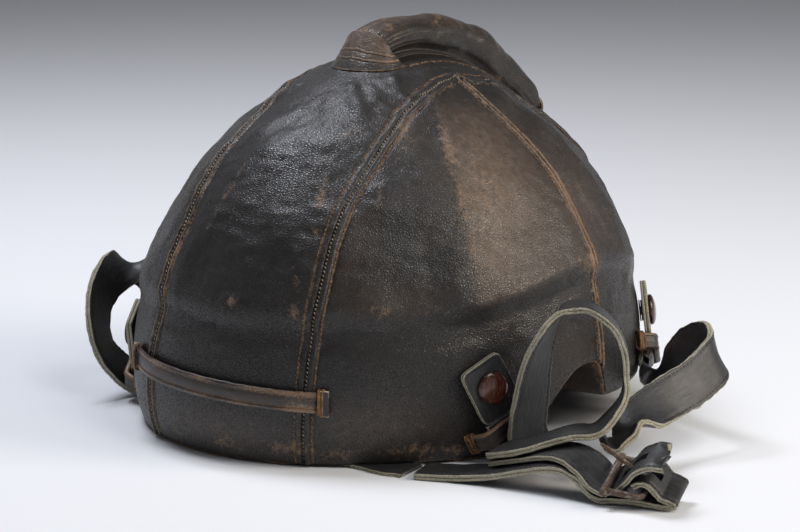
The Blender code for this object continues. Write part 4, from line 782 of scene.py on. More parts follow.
def column_places(columns, width):
    """Shares across a row of that width: close together beside the seams."""
    near = OFFSETS / np.maximum(width[:, None], OFFSETS[-1] * 2.6)
    inner = columns - 2 * (len(OFFSETS) - 1)
    middle = np.linspace(0, 1, inner + 1)[1:-1]
    left = near[:, -1:]
    return np.hstack([near, left + (1 - 2 * left) * middle, 1 - near[:, ::-1]])


def panel_marks(points, seams):
    """A panel's rise in mm, with how worn through and how rubbed it is, and the painted light and shade on
    the upper plates' facets.
    """
    rise = plate_form(points)
    wear = 0.86 * marked(points, WEAR_MARKS) + 0.05 * np.clip(rise, 0, 3)
    ridge = np.zeros(len(points))
    grooves = np.zeros(len(points))
    for kind, side, side_of_seam in seams:
        s = distance_to(points, SEAMS[(kind, side)])
        grooves += seam_profile(kind, side_of_seam, s)
        ridge = np.maximum(ridge, seam_wear(kind, side, side_of_seam, s))
    azimuth, height = place_names(points)
    lip = height - edge_height(azimuth, 0.0) / MM
    wear += ridge + 0.55 * hill(lip, 0.0, 1.6) + 0.14 * hill(lip, 8.0, 5.0)
    base = distance_to(points, BASE_LINE)
    grooves += np.where(base_inside(points), 0.65 * fade(base, 0, 0.5), 0) - 0.4 * hill(base, 0, 0.5)
    wear += 0.7 * hill(base, 0.3, 0.6)
    rub_and_painted_light = marked(points, RUB_MARKS)
    # Painted light and shade: the facet beyond the plates' ridge at 65 degrees is paled, and the facet
    # before it is kept darker, as if lit from the side.
    crease = crease_height(azimuth)
    lit_facet = fade(np.abs(azimuth), 63.4, 65.4) * fade(height, crease - 2, crease + 1)
    upper = (1 - fade(height, 150, 164)) * hill(np.abs(azimuth), 76, 30)
    rub_and_painted_light = rub_and_painted_light * (1 - 0.75 * upper * (1 - lit_facet)) + 0.30 * upper * lit_facet
    total = np.clip(rise + grooves, -0.6, 4.2) - 0.7 * hill(lip, 0.0, 1.4)
    return total, {"wear": wear, "rub_and_painted_light": rub_and_painted_light}


def lifted(points, rise_mm):
    return points + outward(points) * rise_mm[:, None] * MM


def side_panel_mesh(name, side, first_kind, second_kind):
    """A panel between two seams of one side, named by their kinds."""
    seams = [(kind, side, "outer") for kind in (first_kind, second_kind)]

    def between(share, height):
        start = seam_azimuth((first_kind, side), height)
        return start + share * (seam_azimuth((second_kind, side), height) - start)
    fine = np.linspace(0, 1, 181)
    foot = np.zeros_like(fine)
    for _ in range(6):
        foot = edge_height(between(fine, foot), PANEL_FOOT) / SHELL_HEIGHT
    towards_junction = fine if first_kind == "rear" else 1 - fine
    top = PANEL_TOP + towards_junction * (JUNCTION - PANEL_TOP)
    columns = 104
    rows = 132

    def place(u, v):
        column = np.rint(u * columns).astype(int)
        middle_foot = np.interp(0.5, fine, foot)
        middle_height = middle_foot + (PANEL_TOP - middle_foot) * v
        low = dome_point(between(0.0, middle_height), middle_height * SHELL_HEIGHT)
        high = dome_point(between(1.0, middle_height), middle_height * SHELL_HEIGHT)
        width = np.linalg.norm(high - low, axis=1) * 1.06 / MM
        share = column_places(columns, width)[np.arange(len(u)), column]
        if side < 0:
            share = 1 - share
        start = np.interp(share, fine, foot)
        height = start + (np.interp(share, fine, top) - start) * v
        points = on_dome(direction_at(side * between(share, height), height))
        rise, marks = panel_marks(points, seams)
        return lifted(points, rise), marks
    return moved_grid(name, columns, rows, place)


def centre_directions(v, across):
    """Directions of the centre panel: v runs from the back edge over the crown to the front."""
    result = np.empty((len(v), 3))
    for at_front, kind in ((False, "rear"), (True, "front")):
        chosen = v > 0.5 if at_front else v <= 0.5
        share = 2 * (1 - v[chosen]) if at_front else 2 * v[chosen]
        reach = across[chosen]
        heights = np.linspace(PANEL_FOOT / SHELL_HEIGHT, JUNCTION, 500)
        line = on_dome(direction_at(seam_azimuth((kind, 1), heights), heights))
        run = np.concatenate([[0.0], np.cumsum(np.linalg.norm(np.diff(line, axis=0), axis=1))])
        height = np.interp(share * run[-1], run, heights)
        right = seam_azimuth((kind, 1), height)
        left = seam_azimuth((kind, -1), height)
        edge = np.where(reach < 0, left, right)
        fade_low = np.maximum(0.0, 1 - height / STAR_CENTRE)
        turn = 180 - np.abs(reach) * (180 - edge) if at_front else np.abs(reach) * edge
        middle_turn = 180.0 if at_front else 0.0
        lift = edge_height(turn, PANEL_FOOT) - edge_height(middle_turn, PANEL_FOOT)
        lifted_height = height + fade_low * lift / SHELL_HEIGHT
        signed = np.where(reach < 0, -turn, turn)
        same_height = direction_at(signed, lifted_height)
        rim = direction_at(edge, lifted_height)
        rims = direction_at(left, lifted_height) + direction_at(right, lifted_height)
        middle = unit(np.stack([0 * edge, rims[:, 1] * 0.56, rims[:, 2] * 0.5], -1))
        straight = middle + np.abs(reach)[:, None] * (rim - middle)
        straight[:, 0] = np.where(reach < 0, np.abs(straight[:, 0]), -np.abs(straight[:, 0]))
        blend = fade(lifted_height, 0.5, 0.84)[:, None]
        result[chosen] = same_height + blend * (unit(straight) - same_height)
    return result


def centre_panel_mesh(name):
    """The panel over the middle, from the back edge to the front."""
    columns = 108
    rows = 330

    def place(u, v):
        column = np.rint(u * columns).astype(int)
        ends = on_dome(centre_directions(v, 0 * v + 1.0))
        width = np.abs(ends[:, 0]) * 2.1 / MM
        share = column_places(columns, width)[np.arange(len(u)), column]
        points = on_dome(centre_directions(v, 2 * share - 1))
        seams = [("rear", 1, "inner"), ("rear", -1, "inner"), ("front", 1, "inner"), ("front", -1, "inner")]
        rise, marks = panel_marks(points, seams)
        return lifted(points, rise), marks
    return moved_grid(name, columns, rows, place)


for side_name, side in (("right", 1), ("left", -1)):
    for part_name, first, second in (("rear", "rear", "side"), ("front", "side", "front")):
        name = "panel_%s_%s" % (part_name, side_name)
        mesh = side_panel_mesh(name, side, first, second)
        wall(finish_piece(mesh, name, PANEL_HIDE, "shell", ["leather_" + name]), LEATHER)
wall(finish_piece(centre_panel_mesh("panel_centre"), "panel_centre", PANEL_HIDE, "shell",
                  ["leather_panel_centre"]), LEATHER)


# Sewing on the panels
def offset_line(line, offset):
    """A line beside another one on the shell, at an offset towards the front in mm."""
    normals = outward(line)
    along = unit(np.gradient(line, axis=0))
    side = np.cross(normals, along)
    moved = on_dome(toward(line + side * offset * MM))
    return moved, outward(moved)


def sew(name, rows, finish):
    """One piece of all the stitches of the rows."""
    places = []
    for line, normals, pitch, length, width, tilt in rows:
        places += stitch_places(line, normals, pitch * MM, length * MM, width * MM, tilt)
    return many(name, STITCH, places, finish, "shell")


# Stitches: pitch, length and width in mm, and their turn from the seam in radians
HEM_STITCH = (2.3, 1.7, 0.62, 0.0)
LADDER_STITCH = (2.0, 1.8, 0.85, 0.65)
BASE_STITCH = (2.2, 1.6, 0.42, 0.0)
# Distances of the rows from their seams, in mm
HEM_OFFSETS = (-4.0, 4.5)
SIDE_OFFSETS = (-3.3, 3.3)
LADDER_OFFSET = -0.35
tan_rows = []
pale_rows = []
for side in (1, -1):
    for kind in ("rear", "front"):
        line = SEAMS[(kind, side)]
        inner_way = side if kind == "rear" else -side
        form = plate_form(line)
        for offset in HEM_OFFSETS:
            row, normals = offset_line(line, offset * inner_way)
            row = row + normals * (form[:, None] + 0.02) * MM
            tan_rows.append((row[6:], normals[6:], *HEM_STITCH))
        row, normals = offset_line(line, LADDER_OFFSET * inner_way)
        row = row + normals * (form[:, None] + 0.30) * MM
        pale_rows.append((row[6:], normals[6:], *LADDER_STITCH))
    line = SEAMS[("side", side)]
    form = plate_form(line)
    for offset in SIDE_OFFSETS:
        row, normals = offset_line(line, offset)
        row = row + normals * (form[:, None] + 0.02) * MM
        tan_rows.append((row[4:-6], normals[4:-6], *HEM_STITCH))
base_normals = outward(BASE_LINE)
tan_rows.append((BASE_LINE + base_normals * 0.45 * MM, base_normals, *BASE_STITCH))
sew("seam_stitches_tan", tan_rows, TAN_THREAD)
sew("seam_stitches_pale", pale_rows, PALE_THREAD)

# Turned lower edge: outer face under the panels, round to the sweatband inside
EAR_START = 68.0
EAR_STOP = 106.0
BUMP_X = (-0.62 * SHELL_HALF_WIDTH - 0.075, -0.62 * SHELL_HALF_WIDTH + 0.075)
BUMP_Y = 0.676 * SHELL_HALF_LENGTH


def clear_of_strap(points):
    """Lifts the lowest points over the chin strap that passes under the edge."""
    inside = (points[:, 0] > BUMP_X[0]) & (points[:, 0] < BUMP_X[1])
    across = np.clip(np.abs(points[:, 1] - BUMP_Y) / 0.03, 0, 1)
    floor = np.where(inside, 0.0024 * np.sqrt(1 - across ** 2), 0.0)
    points[:, 2] = np.maximum(points[:, 2], floor)
    return points


# Section of the turned edge: depth under the leather's face and rise over the edge, in mm
EDGE_SECTION = [(1.0, 5.5), (0.9, 3.5), (0.8, 2.2), (0.6, 1.0), (1.2, 0.35), (2.4, 0.0), (6.0, 0.0),
                (12.0, 0.1), (18.0, 0.0), (22.0, 0.0), (23.6, 0.3), (24.3, 1.2), (24.5, 2.6), (24.4, 4.2),
                (23.4, 4.4), (12.0, 4.5), (1.9, 5.6), (1.0, 5.5)]
EDGE_RISE = 4.0 * MM


def edge_mesh(name, start, stop):
    """A length of the turned lower edge between two azimuths."""
    depths, rises = smooth_path(EDGE_SECTION, 68).T
    columns = len(depths) - 1
    rows = int((stop - start) * SPAN_PER_DEGREE / (1.6 * MM))

    def place(u, v):
        index = np.rint(u * columns).astype(int)
        azimuth = stop + (start - stop) * v
        low = edge_height(azimuth, 0.0)
        high = edge_height(azimuth, EDGE_RISE)
        height = low + (high - low) * np.clip(rises[index] * MM / EDGE_RISE, 0, 1.4)
        points = dome_point(azimuth, height, depths[index] * MM)
        rough = 0.25 * waves(points, 9, 16, 21) + 0.12 * waves(points, 3, 16, 22)
        points = points + outward(points) * (rough * 0.5)[:, None] * MM
        points = clear_of_strap(points)
        points[:, 2] = np.maximum(points[:, 2], 0.0)
        wear = 0.5 * hill(rises[index], 0.5, 1.4) * (depths[index] < 4)
        wear += 0.2 * (0.5 + 0.5 * waves(points, 17, 10, 23))
        return points, {"wear": wear, "rub_and_painted_light": 0.2 + 0 * wear}
    return closed_up(moved_grid(name, columns, rows, place))


for part_name, start, stop in (("rear", -EAR_START, EAR_START), ("right_ear", EAR_START, EAR_STOP),
                               ("front", EAR_STOP, 360 - EAR_STOP), ("left_ear", -EAR_STOP, -EAR_START)):
    mesh = edge_mesh("turned_edge_" + part_name, start + 0.08, stop - 0.08)
    finish_piece(mesh, "turned_edge_" + part_name, EDGE_HIDE, "shell",
                 ["edge_binding_" + part_name])


# Crest
CREST_HALF_WIDTH = 13.8 * MM
CREST_HEIGHT = 23.5 * MM
# Shares of the crest's height and half width at angles over the crown
CREST_HEIGHTS = [(-57, 0.34), (-55.5, 0.56), (-54, 0.72), (-51, 0.86), (-44, 0.96), (-34, 1.0), (-22, 0.94),
                 (-8, 0.80), (5, 0.70), (10, 0.64), (12, 0.52), (13, 0.36)]
CREST_WIDTHS = [(-57, 0.70), (-55.5, 0.86), (-54, 0.95), (-51, 1.0), (5, 1.0), (10, 0.98), (12, 0.86),
                (13, 0.66)]
CREST_SEAT = 2.0 * MM


def crest_size(angle):
    """Half width and height of the roll at an angle over the crown."""
    half_width = CREST_HALF_WIDTH * np.interp(angle, *np.array(CREST_WIDTHS, float).T)
    return half_width, CREST_HEIGHT * np.interp(angle, *np.array(CREST_HEIGHTS, float).T)


def crest_points(angle, turn, shrink):
    """The stuffed roll: round, and narrower where it meets its strip."""
    foot, up = crown_frames(angle)
    half_width, top = crest_size(angle)
    low = CREST_SEAT + shrink
    height = low + 0.5 * (top - shrink - low) * (1 + np.sin(turn))
    round_share = np.where(np.sin(turn) < 0, np.abs(np.cos(turn)) ** 0.5, np.abs(np.cos(turn)))
    side = np.stack([(half_width - shrink) * np.sign(np.cos(turn)) * round_share, 0 * turn, 0 * turn], -1)
    return foot + up * height[..., None] + side


def flanged(points, feet, ups, u, columns):
    """Turns the roll's two lower edges out into flanges that are sewn to its strip."""
    step = np.minimum(u, 1 - u) * columns
    way = np.where(u < 0.5, 1.0, -1.0)
    for index, (across, height) in enumerate(((11.4, 1.0), (10.2, 1.0), (9.2, 1.5), (9.2, 2.6))):
        chosen = np.rint(step) == index
        places = feet[chosen] + ups[chosen] * height * MM
        places[:, 0] += way[chosen] * across * MM
        points[chosen] = places
    return points


def crest_mesh(name, start, stop, low_turn, high_turn, columns, rows, shrink, with_flange=True):
    """The roll's cover, or with no flange its stuffing, between two angles over the crown."""
    def place(u, v):
        angle = start + (stop - start) * v
        turn = np.radians(low_turn + (high_turn - low_turn) * u)
        points = crest_points(angle, turn, shrink)
        middle, up = crown_frames(angle)
        out = unit(points - middle - up * 0.010)
        near_end = np.minimum(angle - stop, start - angle)
        pucker = np.exp(-np.clip(near_end, 0, None) / 7.0)
        rise = 0.30 * waves(points, 26, 14, 31) + 0.16 * waves(points, 11, 16, 32)
        rise += 0.45 * pucker * np.sin(turn * 19 + 1.5 * np.sin(turn * 5))
        points = points + out * (rise * np.clip(near_end / 2.0, 0, 1))[:, None] * MM
        if with_flange:
            points = flanged(points, middle, up, u, columns)
        top = np.clip(np.sin(turn), 0, 1)
        wear = 0.26 * top ** 3 + 0.22 * top ** 2 * hill(angle, 6, 6) + 0.14 * waves(points, 14, 14, 33)
        wear += 0.35 * hill(angle, start - 1.5, 1.0)
        return points, {"wear": wear, "rub_and_painted_light": 0.24 * top ** 2 + 0.05 * waves(points, 24, 14, 34)}
    return moved_grid(name, columns, rows, place)


COVER_THICKNESS = 1.5 * MM
STRIP_THICKNESS = 1.0 * MM
HOOD_THICKNESS = 1.1 * MM
mesh = crest_mesh("crest_roll", 13.0, -57.0, -55, 235, 96, 150, 0.0)
cover = finish_piece(mesh, "crest_roll", CREST_HIDE, "shell", ["crest_cover"])
wall(cover, COVER_THICKNESS)
mesh = closed_up(crest_mesh("crest_stuffing", 9.5, -52.5, 0, 360, 40, 60, 2.2 * MM, with_flange=False))
stuffing = finish_piece(mesh, "crest_stuffing", FELT, "shell", ["crest_padding"])


def strip_mesh(name):
    """The strip on the crown that the roll's flanges are sewn to."""
    def place(u, v):
        angle = 12.0 - 67.0 * v
        points = on_dome(crown_direction(angle, (0.5 - u) * 25.0 * MM))
        _, up = crown_frames(angle)
        edge = np.abs(u - 0.5) * 2
        points = points + up * (0.5 * MM + 0.25 * MM * (1 - edge[:, None] ** 6))
        return points, {"wear": 0.35 * hill(edge, 1.0, 0.06), "rub_and_painted_light": 0 * u}
    return moved_grid(name, 30, 80, place)


wall(finish_piece(strip_mesh("crest_strip"), "crest_strip", CREST_HIDE, "shell",
                  ["crest_base_strip"]), STRIP_THICKNESS, outwards=True)
# Levels of the sewn lines round the hoods, from the mouth to the foot
HOOD_LINES = np.array([0.46, 0.68])


def hood_mesh(name, mouth, way, reach, flare, sag):
    """A sleeve over the roll's end that flares down on to the shell, sewn round twice."""
    half_width, top = crest_size(mouth)
    half_width += 0.4 * MM
    top += 0.3 * MM

    def place(u, level):
        turn = np.radians(-12 + 204 * (u if way < 0 else 1 - u))
        angle = mouth + way * reach * level * np.sin(turn)
        across = (half_width + flare * level ** 1.2) * np.cos(turn)
        upright = CREST_SEAT + 0.5 * (top - CREST_SEAT) * (1 + np.sin(turn))
        height = -0.4 * MM + (upright + 0.4 * MM) * (1 - level) ** sag
        foot = on_dome(crown_direction(angle, across))
        _, up = crown_frames(angle)
        points = foot + up * height[:, None]
        lines = HOOD_LINES + 0.02 * np.sin(turn * 3 + 1)[:, None]
        step = level[:, None] - lines
        groove = (0.3 * hill(step, 0.0, 0.018) - 0.3 * hill(step, 0.04, 0.016)).sum(1)
        soft = 0.22 * waves(points, 12, 14, 41 + int(way)) + 0.05 * waves(points, 5, 14, 43)
        points = points + up * ((groove + soft) * np.clip((1 - level) * 6, 0, 1))[:, None] * MM
        wear = 0.65 * hill(level, 0.0, 0.06) * np.clip(np.sin(turn), 0, 1)
        wear = wear + 0.75 * hill(step, 0.0, 0.018).sum(1)
        wear += 0.8 * hill(level, 1.0, 0.05) + 0.35 * hill(np.abs(np.cos(turn)), 1.0, 0.15) * (1 - level)
        # Painted highlight: the hood is paled towards its top and its mouth, standing in for the top lamp's
        # sheen.
        rub_and_painted_light = np.clip(1.3 - 1.2 * level, 0, 1) * np.clip(np.sin(turn) + 0.4, 0, 1)
        return points, {"wear": wear, "rub_and_painted_light": rub_and_painted_light}
    return moved_grid(name, 96, 64, place)


for part_name, mouth, way, reach, flare, sag in (("rear", 10.6, 1, 8.8, 6.8 * MM, 1.12),
                                                 ("front", -53.6, -1, 8.0, 4.5 * MM, 1.1)):
    name = "crest_hood_" + part_name
    mesh = hood_mesh(name, mouth, way, reach, flare, sag)
    wall(finish_piece(mesh, name, PANEL_HIDE, "shell", ["crest_collar_" + part_name]),
         HOOD_THICKNESS, outwards=True)


# Bands and straps
def band_section(width, thickness, fold):
    """Points round a strap's section in mm, with how raw its edge is and how deep in its core.

    Each face and each edge is given from its right or upper end to its middle and mirrored."""
    h = width / 2
    t = thickness / 2
    if fold:
        face = [(h - 0.7, t + 0.10), (h - 1.3, t + 0.28), (h - 1.9, t + 0.10), (h - 2.3, t - 0.22),
                (h - 2.8, t + 0.02), (0, t + 0.10)]
        edge = [(h - 0.3, t * 0.90, 0, 0), (h - 0.06, t * 0.5, 0, 0), (h, 0, 0, 0)]
    else:
        face = [(h - 0.5, t * 0.97), (h - 1.0, t), (h - 1.5, t), (h - 1.9, t - 0.13), (h - 2.3, t),
                (h * 0.6, t), (h * 0.3, t * 1.01), (0, t * 1.02)]
        edge = [(h - 0.18, t * 0.9, 0.9, 0), (h - 0.03, t * 0.62, 1, 0), (h - 0.02, t * 0.34, 1, 0),
                (h - 0.16, t * 0.10, 1, 0.35), (h - 0.42, 0, 1, 1)]
    face = [(-a, b) for a, b in face] + face[-2::-1]
    edge += [(a, -b, raw, core) for a, b, raw, core in edge[-2::-1]]
    half = [(a, b, 0.3 if not fold and abs(a) > h - 0.7 else 0.0, 0) for a, b in face] + edge
    return np.array(half + [(-a, -b, raw, core) for a, b, raw, core in half], float)


def band_frame(path, widths):
    """Directions along a band, across it and out of its face."""
    along = unit(np.gradient(path, axis=0))
    across = unit(widths - along * (widths * along).sum(-1, keepdims=True))
    return along, across, np.cross(along, across)


def band_mesh(name, path, widths, width, thickness, fold=False, wobble=0.26, end_shape=None, wear=None):
    """A strap swept along a path, its raw edges a little uneven; width and thickness in mm."""
    ring = band_section(width, thickness, fold)
    along, across, up = band_frame(path, widths)
    run = np.concatenate([[0.0], np.cumsum(np.linalg.norm(np.diff(path, axis=0), axis=1))])
    columns = len(ring)
    rows = len(path) - 1

    def place(u, v):
        i = np.rint(u * columns).astype(int) % columns
        j = np.rint(v * rows).astype(int)
        a, b, raw, core = ring[i].T
        points = path[j] + across[j] * a[:, None] * MM + up[j] * b[:, None] * MM
        rough = waves(points, 7, 12, 51) + 0.7 * waves(points, 2.2, 16, 52)
        aside = np.sign(a) * np.clip(np.abs(a) - (width / 2 - 1.6), 0, 1) / 1.6
        points = points + across[j] * (aside * rough * wobble)[:, None] * MM
        points = points + up[j] * (np.sign(b) * 0.05 * waves(points, 9, 12, 53))[:, None] * MM
        if end_shape is not None:
            points = points + along[j] * end_shape(a, run[j], run[-1])[:, None] * MM
        shade = 0.1 + 0.12 * waves(points, 16, 12, 54)
        if wear is not None:
            shade = shade + wear(a, b, run[j] / run[-1])
        return points, {"edge": raw, "core": core, "wear": shade,
                        "lay": np.stack([a * MM, run[j], b * MM], -1)}
    return closed_up(moved_grid(name, columns, rows, place))


def across_vector(heading, rise):
    level = cos(radians(rise))
    return np.array([cos(radians(heading)) * level, sin(radians(heading)) * level, sin(radians(rise))])


# Where each strap runs: a place as shares of the shell's half width, half length and height,
# then the heading and the rise in degrees of the line across the strap
REAR_RIGHT_ROUTE = [
    (-1.004, 0.307, 0.055, -109, 26), (-1.041, 0.299, 0.043, -108, 24), (-1.065, 0.337, 0.095, -106, 20),
    (-1.080, 0.338, 0.165, -100, 10), (-1.096, 0.322, 0.272, -88, 2), (-1.118, 0.301, 0.339, -76, 0),
    (-1.151, 0.255, 0.403, -62, 0), (-1.204, 0.217, 0.419, -50, 0), (-1.267, 0.192, 0.407, -49, 0),
    (-1.342, 0.176, 0.368, -50, 0), (-1.395, 0.182, 0.314, -52, 0), (-1.426, 0.205, 0.260, -54, 0),
    (-1.442, 0.238, 0.212, -54, 0), (-1.437, 0.295, 0.168, -52, 0), (-1.411, 0.355, 0.135, -52, 0),
    (-1.337, 0.415, 0.127, -57, 0)]
FRONT_RIGHT_ROUTE = [
    (-0.843, -0.588, 0.112, -53, -25), (-0.915, -0.578, 0.104, -52, -5), (-1.020, -0.520, 0.146, -49, 38),
    (-1.150, -0.455, 0.208, -46, 72), (-1.273, -0.396, 0.248, -46, 82), (-1.371, -0.354, 0.253, 30, 78),
    (-1.429, -0.302, 0.230, 28, 62), (-1.440, -0.213, 0.200, 26, 54), (-1.430, -0.109, 0.175, 24, 50),
    (-1.415, -0.023, 0.157, 16, 44), (-1.407, 0.057, 0.140, -8, 34), (-1.420, 0.129, 0.129, -34, 14),
    (-1.435, 0.190, 0.118, -48, 0), (-1.440, 0.235, 0.100, -48, 0), (-1.419, 0.276, 0.083, -48, 0),
    (-1.398, 0.296, 0.094, -48, 0)]
REAR_LEFT_ROUTE = [
    (0.897, 0.520, 0.055, -58, 26), (0.937, 0.525, 0.043, -58, 24), (0.966, 0.580, 0.080, -60, 20),
    (0.990, 0.640, 0.145, -62, 10), (1.028, 0.635, 0.225, -70, 0), (1.056, 0.590, 0.295, -80, 0),
    (1.078, 0.502, 0.340, -90, -4), (1.096, 0.382, 0.345, -96, -6), (1.115, 0.270, 0.300, -100, -4),
    (1.135, 0.170, 0.225, -100, 0), (1.140, 0.090, 0.140, -98, 4), (1.125, 0.025, 0.072, -96, 4),
    (1.085, -0.020, 0.038, -94, 2)]
FRONT_LEFT_ROUTE = [
    (0.843, -0.588, 0.110, -127, -25), (0.884, -0.598, 0.096, -127, -20), (0.935, -0.590, 0.120, -124, -10),
    (0.985, -0.550, 0.165, -115, 0), (1.050, -0.470, 0.195, -100, 4), (1.110, -0.370, 0.180, -92, 4),
    (1.140, -0.270, 0.125, -88, 2), (1.130, -0.190, 0.075, -86, 0), (1.080, -0.145, 0.048, -88, 0)]
CHIN_LEFT_ROUTE = [
    (1.060, -0.030, 0.0048, -90, 0), (0.900, -0.045, 0.0048, -92, 0), (0.650, -0.010, 0.0048, -100, 0),
    (0.350, 0.150, 0.0048, -125, 0), (0.100, 0.370, 0.0048, -128, 0), (-0.150, 0.550, 0.0048, -122, 0),
    (-0.420, 0.665, 0.0048, -108, 0), (-0.700, 0.690, 0.0048, -98, 0), (-0.805, 0.672, 0.0048, -94, 0)]
BUCKLE_ROUTE = [
    (-0.850, 0.664, 0.0095, -96, 0), (-0.915, 0.642, 0.0100, -88, 0), (-0.994, 0.610, 0.013, -74, 0),
    (-1.121, 0.572, 0.026, -64, 0), (-1.243, 0.543, 0.049, -63, 0), (-1.340, 0.524, 0.068, -63, 2),
    (-1.424, 0.511, 0.074, -66, 6), (-1.500, 0.505, 0.062, -68, 12)]
# Rows of the buckle strap's route that other straps lie on, with the share of its width aside
CHIN_RIGHT_ROWS = [(3, 0.46), (4, 0.36), (5, 0.25), (6, 0.13), (7, 0.05)]
REAR_END_ROWS = [(4, 0.36), (3, 0.46)]
# Reach and rise at the buckle, as shares of its length
TONGUE_REACH = [(1.30, -0.205), (1.00, -0.213), (0.70, -0.04), (0.47, 0.26), (0.26, 0.58), (-0.10, 0.80),
                (-0.45, 0.84)]
BUCKLE_FOLD = [(1.30, -0.450), (1.00, -0.435), (0.66, -0.375), (0.24, -0.310), (-0.20, -0.300),
               (-0.60, -0.300), (-0.81, -0.205), (-0.60, -0.105), (-0.42, -0.050), (-0.24, 0.140),
               (-0.05, 0.285), (0.14, 0.260), (0.30, 0.150)]
# Strap sizes in mm
STRAP_THICKNESS = 3.0
TONGUE_THICKNESS = 2.4
UNDER_THICKNESS = 1.6
STRAP_WIDTH = 21.5
BUCKLE_LENGTH = 17.0 * MM
BUCKLE_WIRE = 3.0 * MM
BUCKLE_INNER_WIDTH = 23.6 * MM


def route(rows):
    """A route's places and its lines across the strap."""
    size = np.array([SHELL_HALF_WIDTH, SHELL_HALF_LENGTH, SHELL_HEIGHT])
    return np.array([row[:3] for row in rows]) * size, np.array([across_vector(*row[3:]) for row in rows])


def stacked(rows, picks, thicknesses):
    """Points that lie on top of another strap's route, with 1.1 mm of air between straps."""
    centres, widths = route(rows)
    rise = sum(thicknesses) - 0.5 * (thicknesses[0] + thicknesses[-1]) + (len(thicknesses) - 1) * 1.1
    places = []
    lying = []
    for row, share in picks:
        along = unit(centres[min(row + 1, len(centres) - 1)] - centres[row - 1])
        across = unit(widths[row] - along * (widths[row] @ along))
        out = np.cross(along, across)
        out = out if out[2] > 0 else -out
        places.append(centres[row] + across * share * STRAP_WIDTH * MM + out * rise * MM)
        lying.append(across)
    return np.array(places), np.array(lying)


def snap_axes(azimuth, height, lean):
    """Place on the leather, then the lines across a tab, along it and out from it."""
    place = dome_point(azimuth, height)
    out = outward(place)
    aside = unit(np.cross(np.array([0, 0, 1.0]), out))
    up = np.cross(out, aside)
    turn = radians(lean)
    return place, aside * cos(turn) + up * sin(turn), up * cos(turn) - aside * sin(turn), out


# Azimuth, height and lean in degrees of the four snaps
SNAPS = {"rear_right": (66.4, 36.3 * MM, 27.0), "front_right": (131.0, 46.0 * MM, -27.0),
         "rear_left": (-54.0, 36.3 * MM, -27.0), "front_left": (-131.0, 46.0 * MM, 27.0)}
TAB_LIFT = 2.1 * MM
HINGE_REACH = 13.5 * MM
LOOP_OFFSET = 20.5 * MM
LOOP_WIDTH = 8.5 * MM
LOOP_LENGTH = 40.0 * MM
LOOP_THICKNESS = 2.4 * MM
half_strap = 0.5 * STRAP_THICKNESS * MM


def in_snap(corner, x, y, z):
    """A place given across a snap's tab, along it and out from the leather."""
    place, across, along, out = snap_axes(*SNAPS[corner])
    return place + across * x + along * y + out * z


def strap_line(points, widths):
    """Even points and width lines through the route's points."""
    length = np.linalg.norm(np.diff(points, axis=0), axis=1).sum()
    coarse = max(2, ceil(length / 0.006))
    line = smooth_path(points, coarse * 5)
    lying = smooth_path(widths, coarse * 5)
    return line, unit(lying)


strap_lines = {}


def strap(name, points, widths, thickness, replaces, **options):
    """A strap's piece, whose line is kept for the sewing."""
    line, lying = strap_line(points, widths)
    strap_lines[name] = (line, lying, thickness)
    mesh = band_mesh(name, line, lying, STRAP_WIDTH, thickness, **options)
    return finish_piece(mesh, name, STRAP_HIDE, "shell", [replaces])


def torn_end(a, run, length):
    """A tongue torn across: its last few millimetres run out unevenly."""
    near = np.clip(1 - (length - run) / 9.0 / MM, 0, 1)
    jag = 2.2 * np.sin(a * 0.55 + 0.6) + 1.1 * np.sin(a * 1.7 + 2.0) + 0.7 * np.sin(a * 3.9) - 2.0
    return jag * near


strap_start = -HINGE_REACH - half_strap - 0.5 * MM
loop_foot = -LOOP_OFFSET - 0.5 * LOOP_WIDTH
for corner, rows in (("rear_right", REAR_RIGHT_ROUTE), ("front_right", FRONT_RIGHT_ROUTE),
                     ("rear_left", REAR_LEFT_ROUTE), ("front_left", FRONT_LEFT_ROUTE)):
    centres, widths = route(rows)
    level = TAB_LIFT + half_strap
    cross = snap_axes(*SNAPS[corner])[1] * (1 if "right" in corner else -1)
    first = [in_snap(corner, 0, strap_start, level), in_snap(corner, 0, loop_foot, level)]
    if corner == "rear_right":
        layers = (STRAP_THICKNESS, TONGUE_THICKNESS, STRAP_THICKNESS)
        places, lying = stacked(BUCKLE_ROUTE, REAR_END_ROWS, layers)
        centres = np.vstack([centres, places])
        widths = np.vstack([widths, lying])
    strap("strap_band_" + corner, np.vstack([first, centres]), np.vstack([[cross, cross], widths]),
          STRAP_THICKNESS, "strap_" + corner)
strap("chin_band_left", *route(CHIN_LEFT_ROUTE), UNDER_THICKNESS, "chin_strap_left")

# The buckle's place, the line along its heel bar and the line towards its front bar
bar_line = across_vector(-70.0, 18.0)
level_front = across_vector(20.0, 6.5)
front_line = unit(level_front - bar_line * (level_front @ bar_line))
buckle_out = np.cross(front_line, -bar_line)
buckle_place = np.array([-1.757 * SHELL_HALF_WIDTH, 0.455 * SHELL_HALF_LENGTH, 0.0595 * SHELL_HEIGHT])


def at_buckle(x, y, z):
    """A place given towards the front bar, along the heel bar and out of the buckle."""
    return buckle_place + front_line * x - bar_line * y + buckle_out * z


def buckle_points(table):
    return np.array([at_buckle(reach * BUCKLE_LENGTH, 0, rise * BUCKLE_LENGTH) for reach, rise in table])


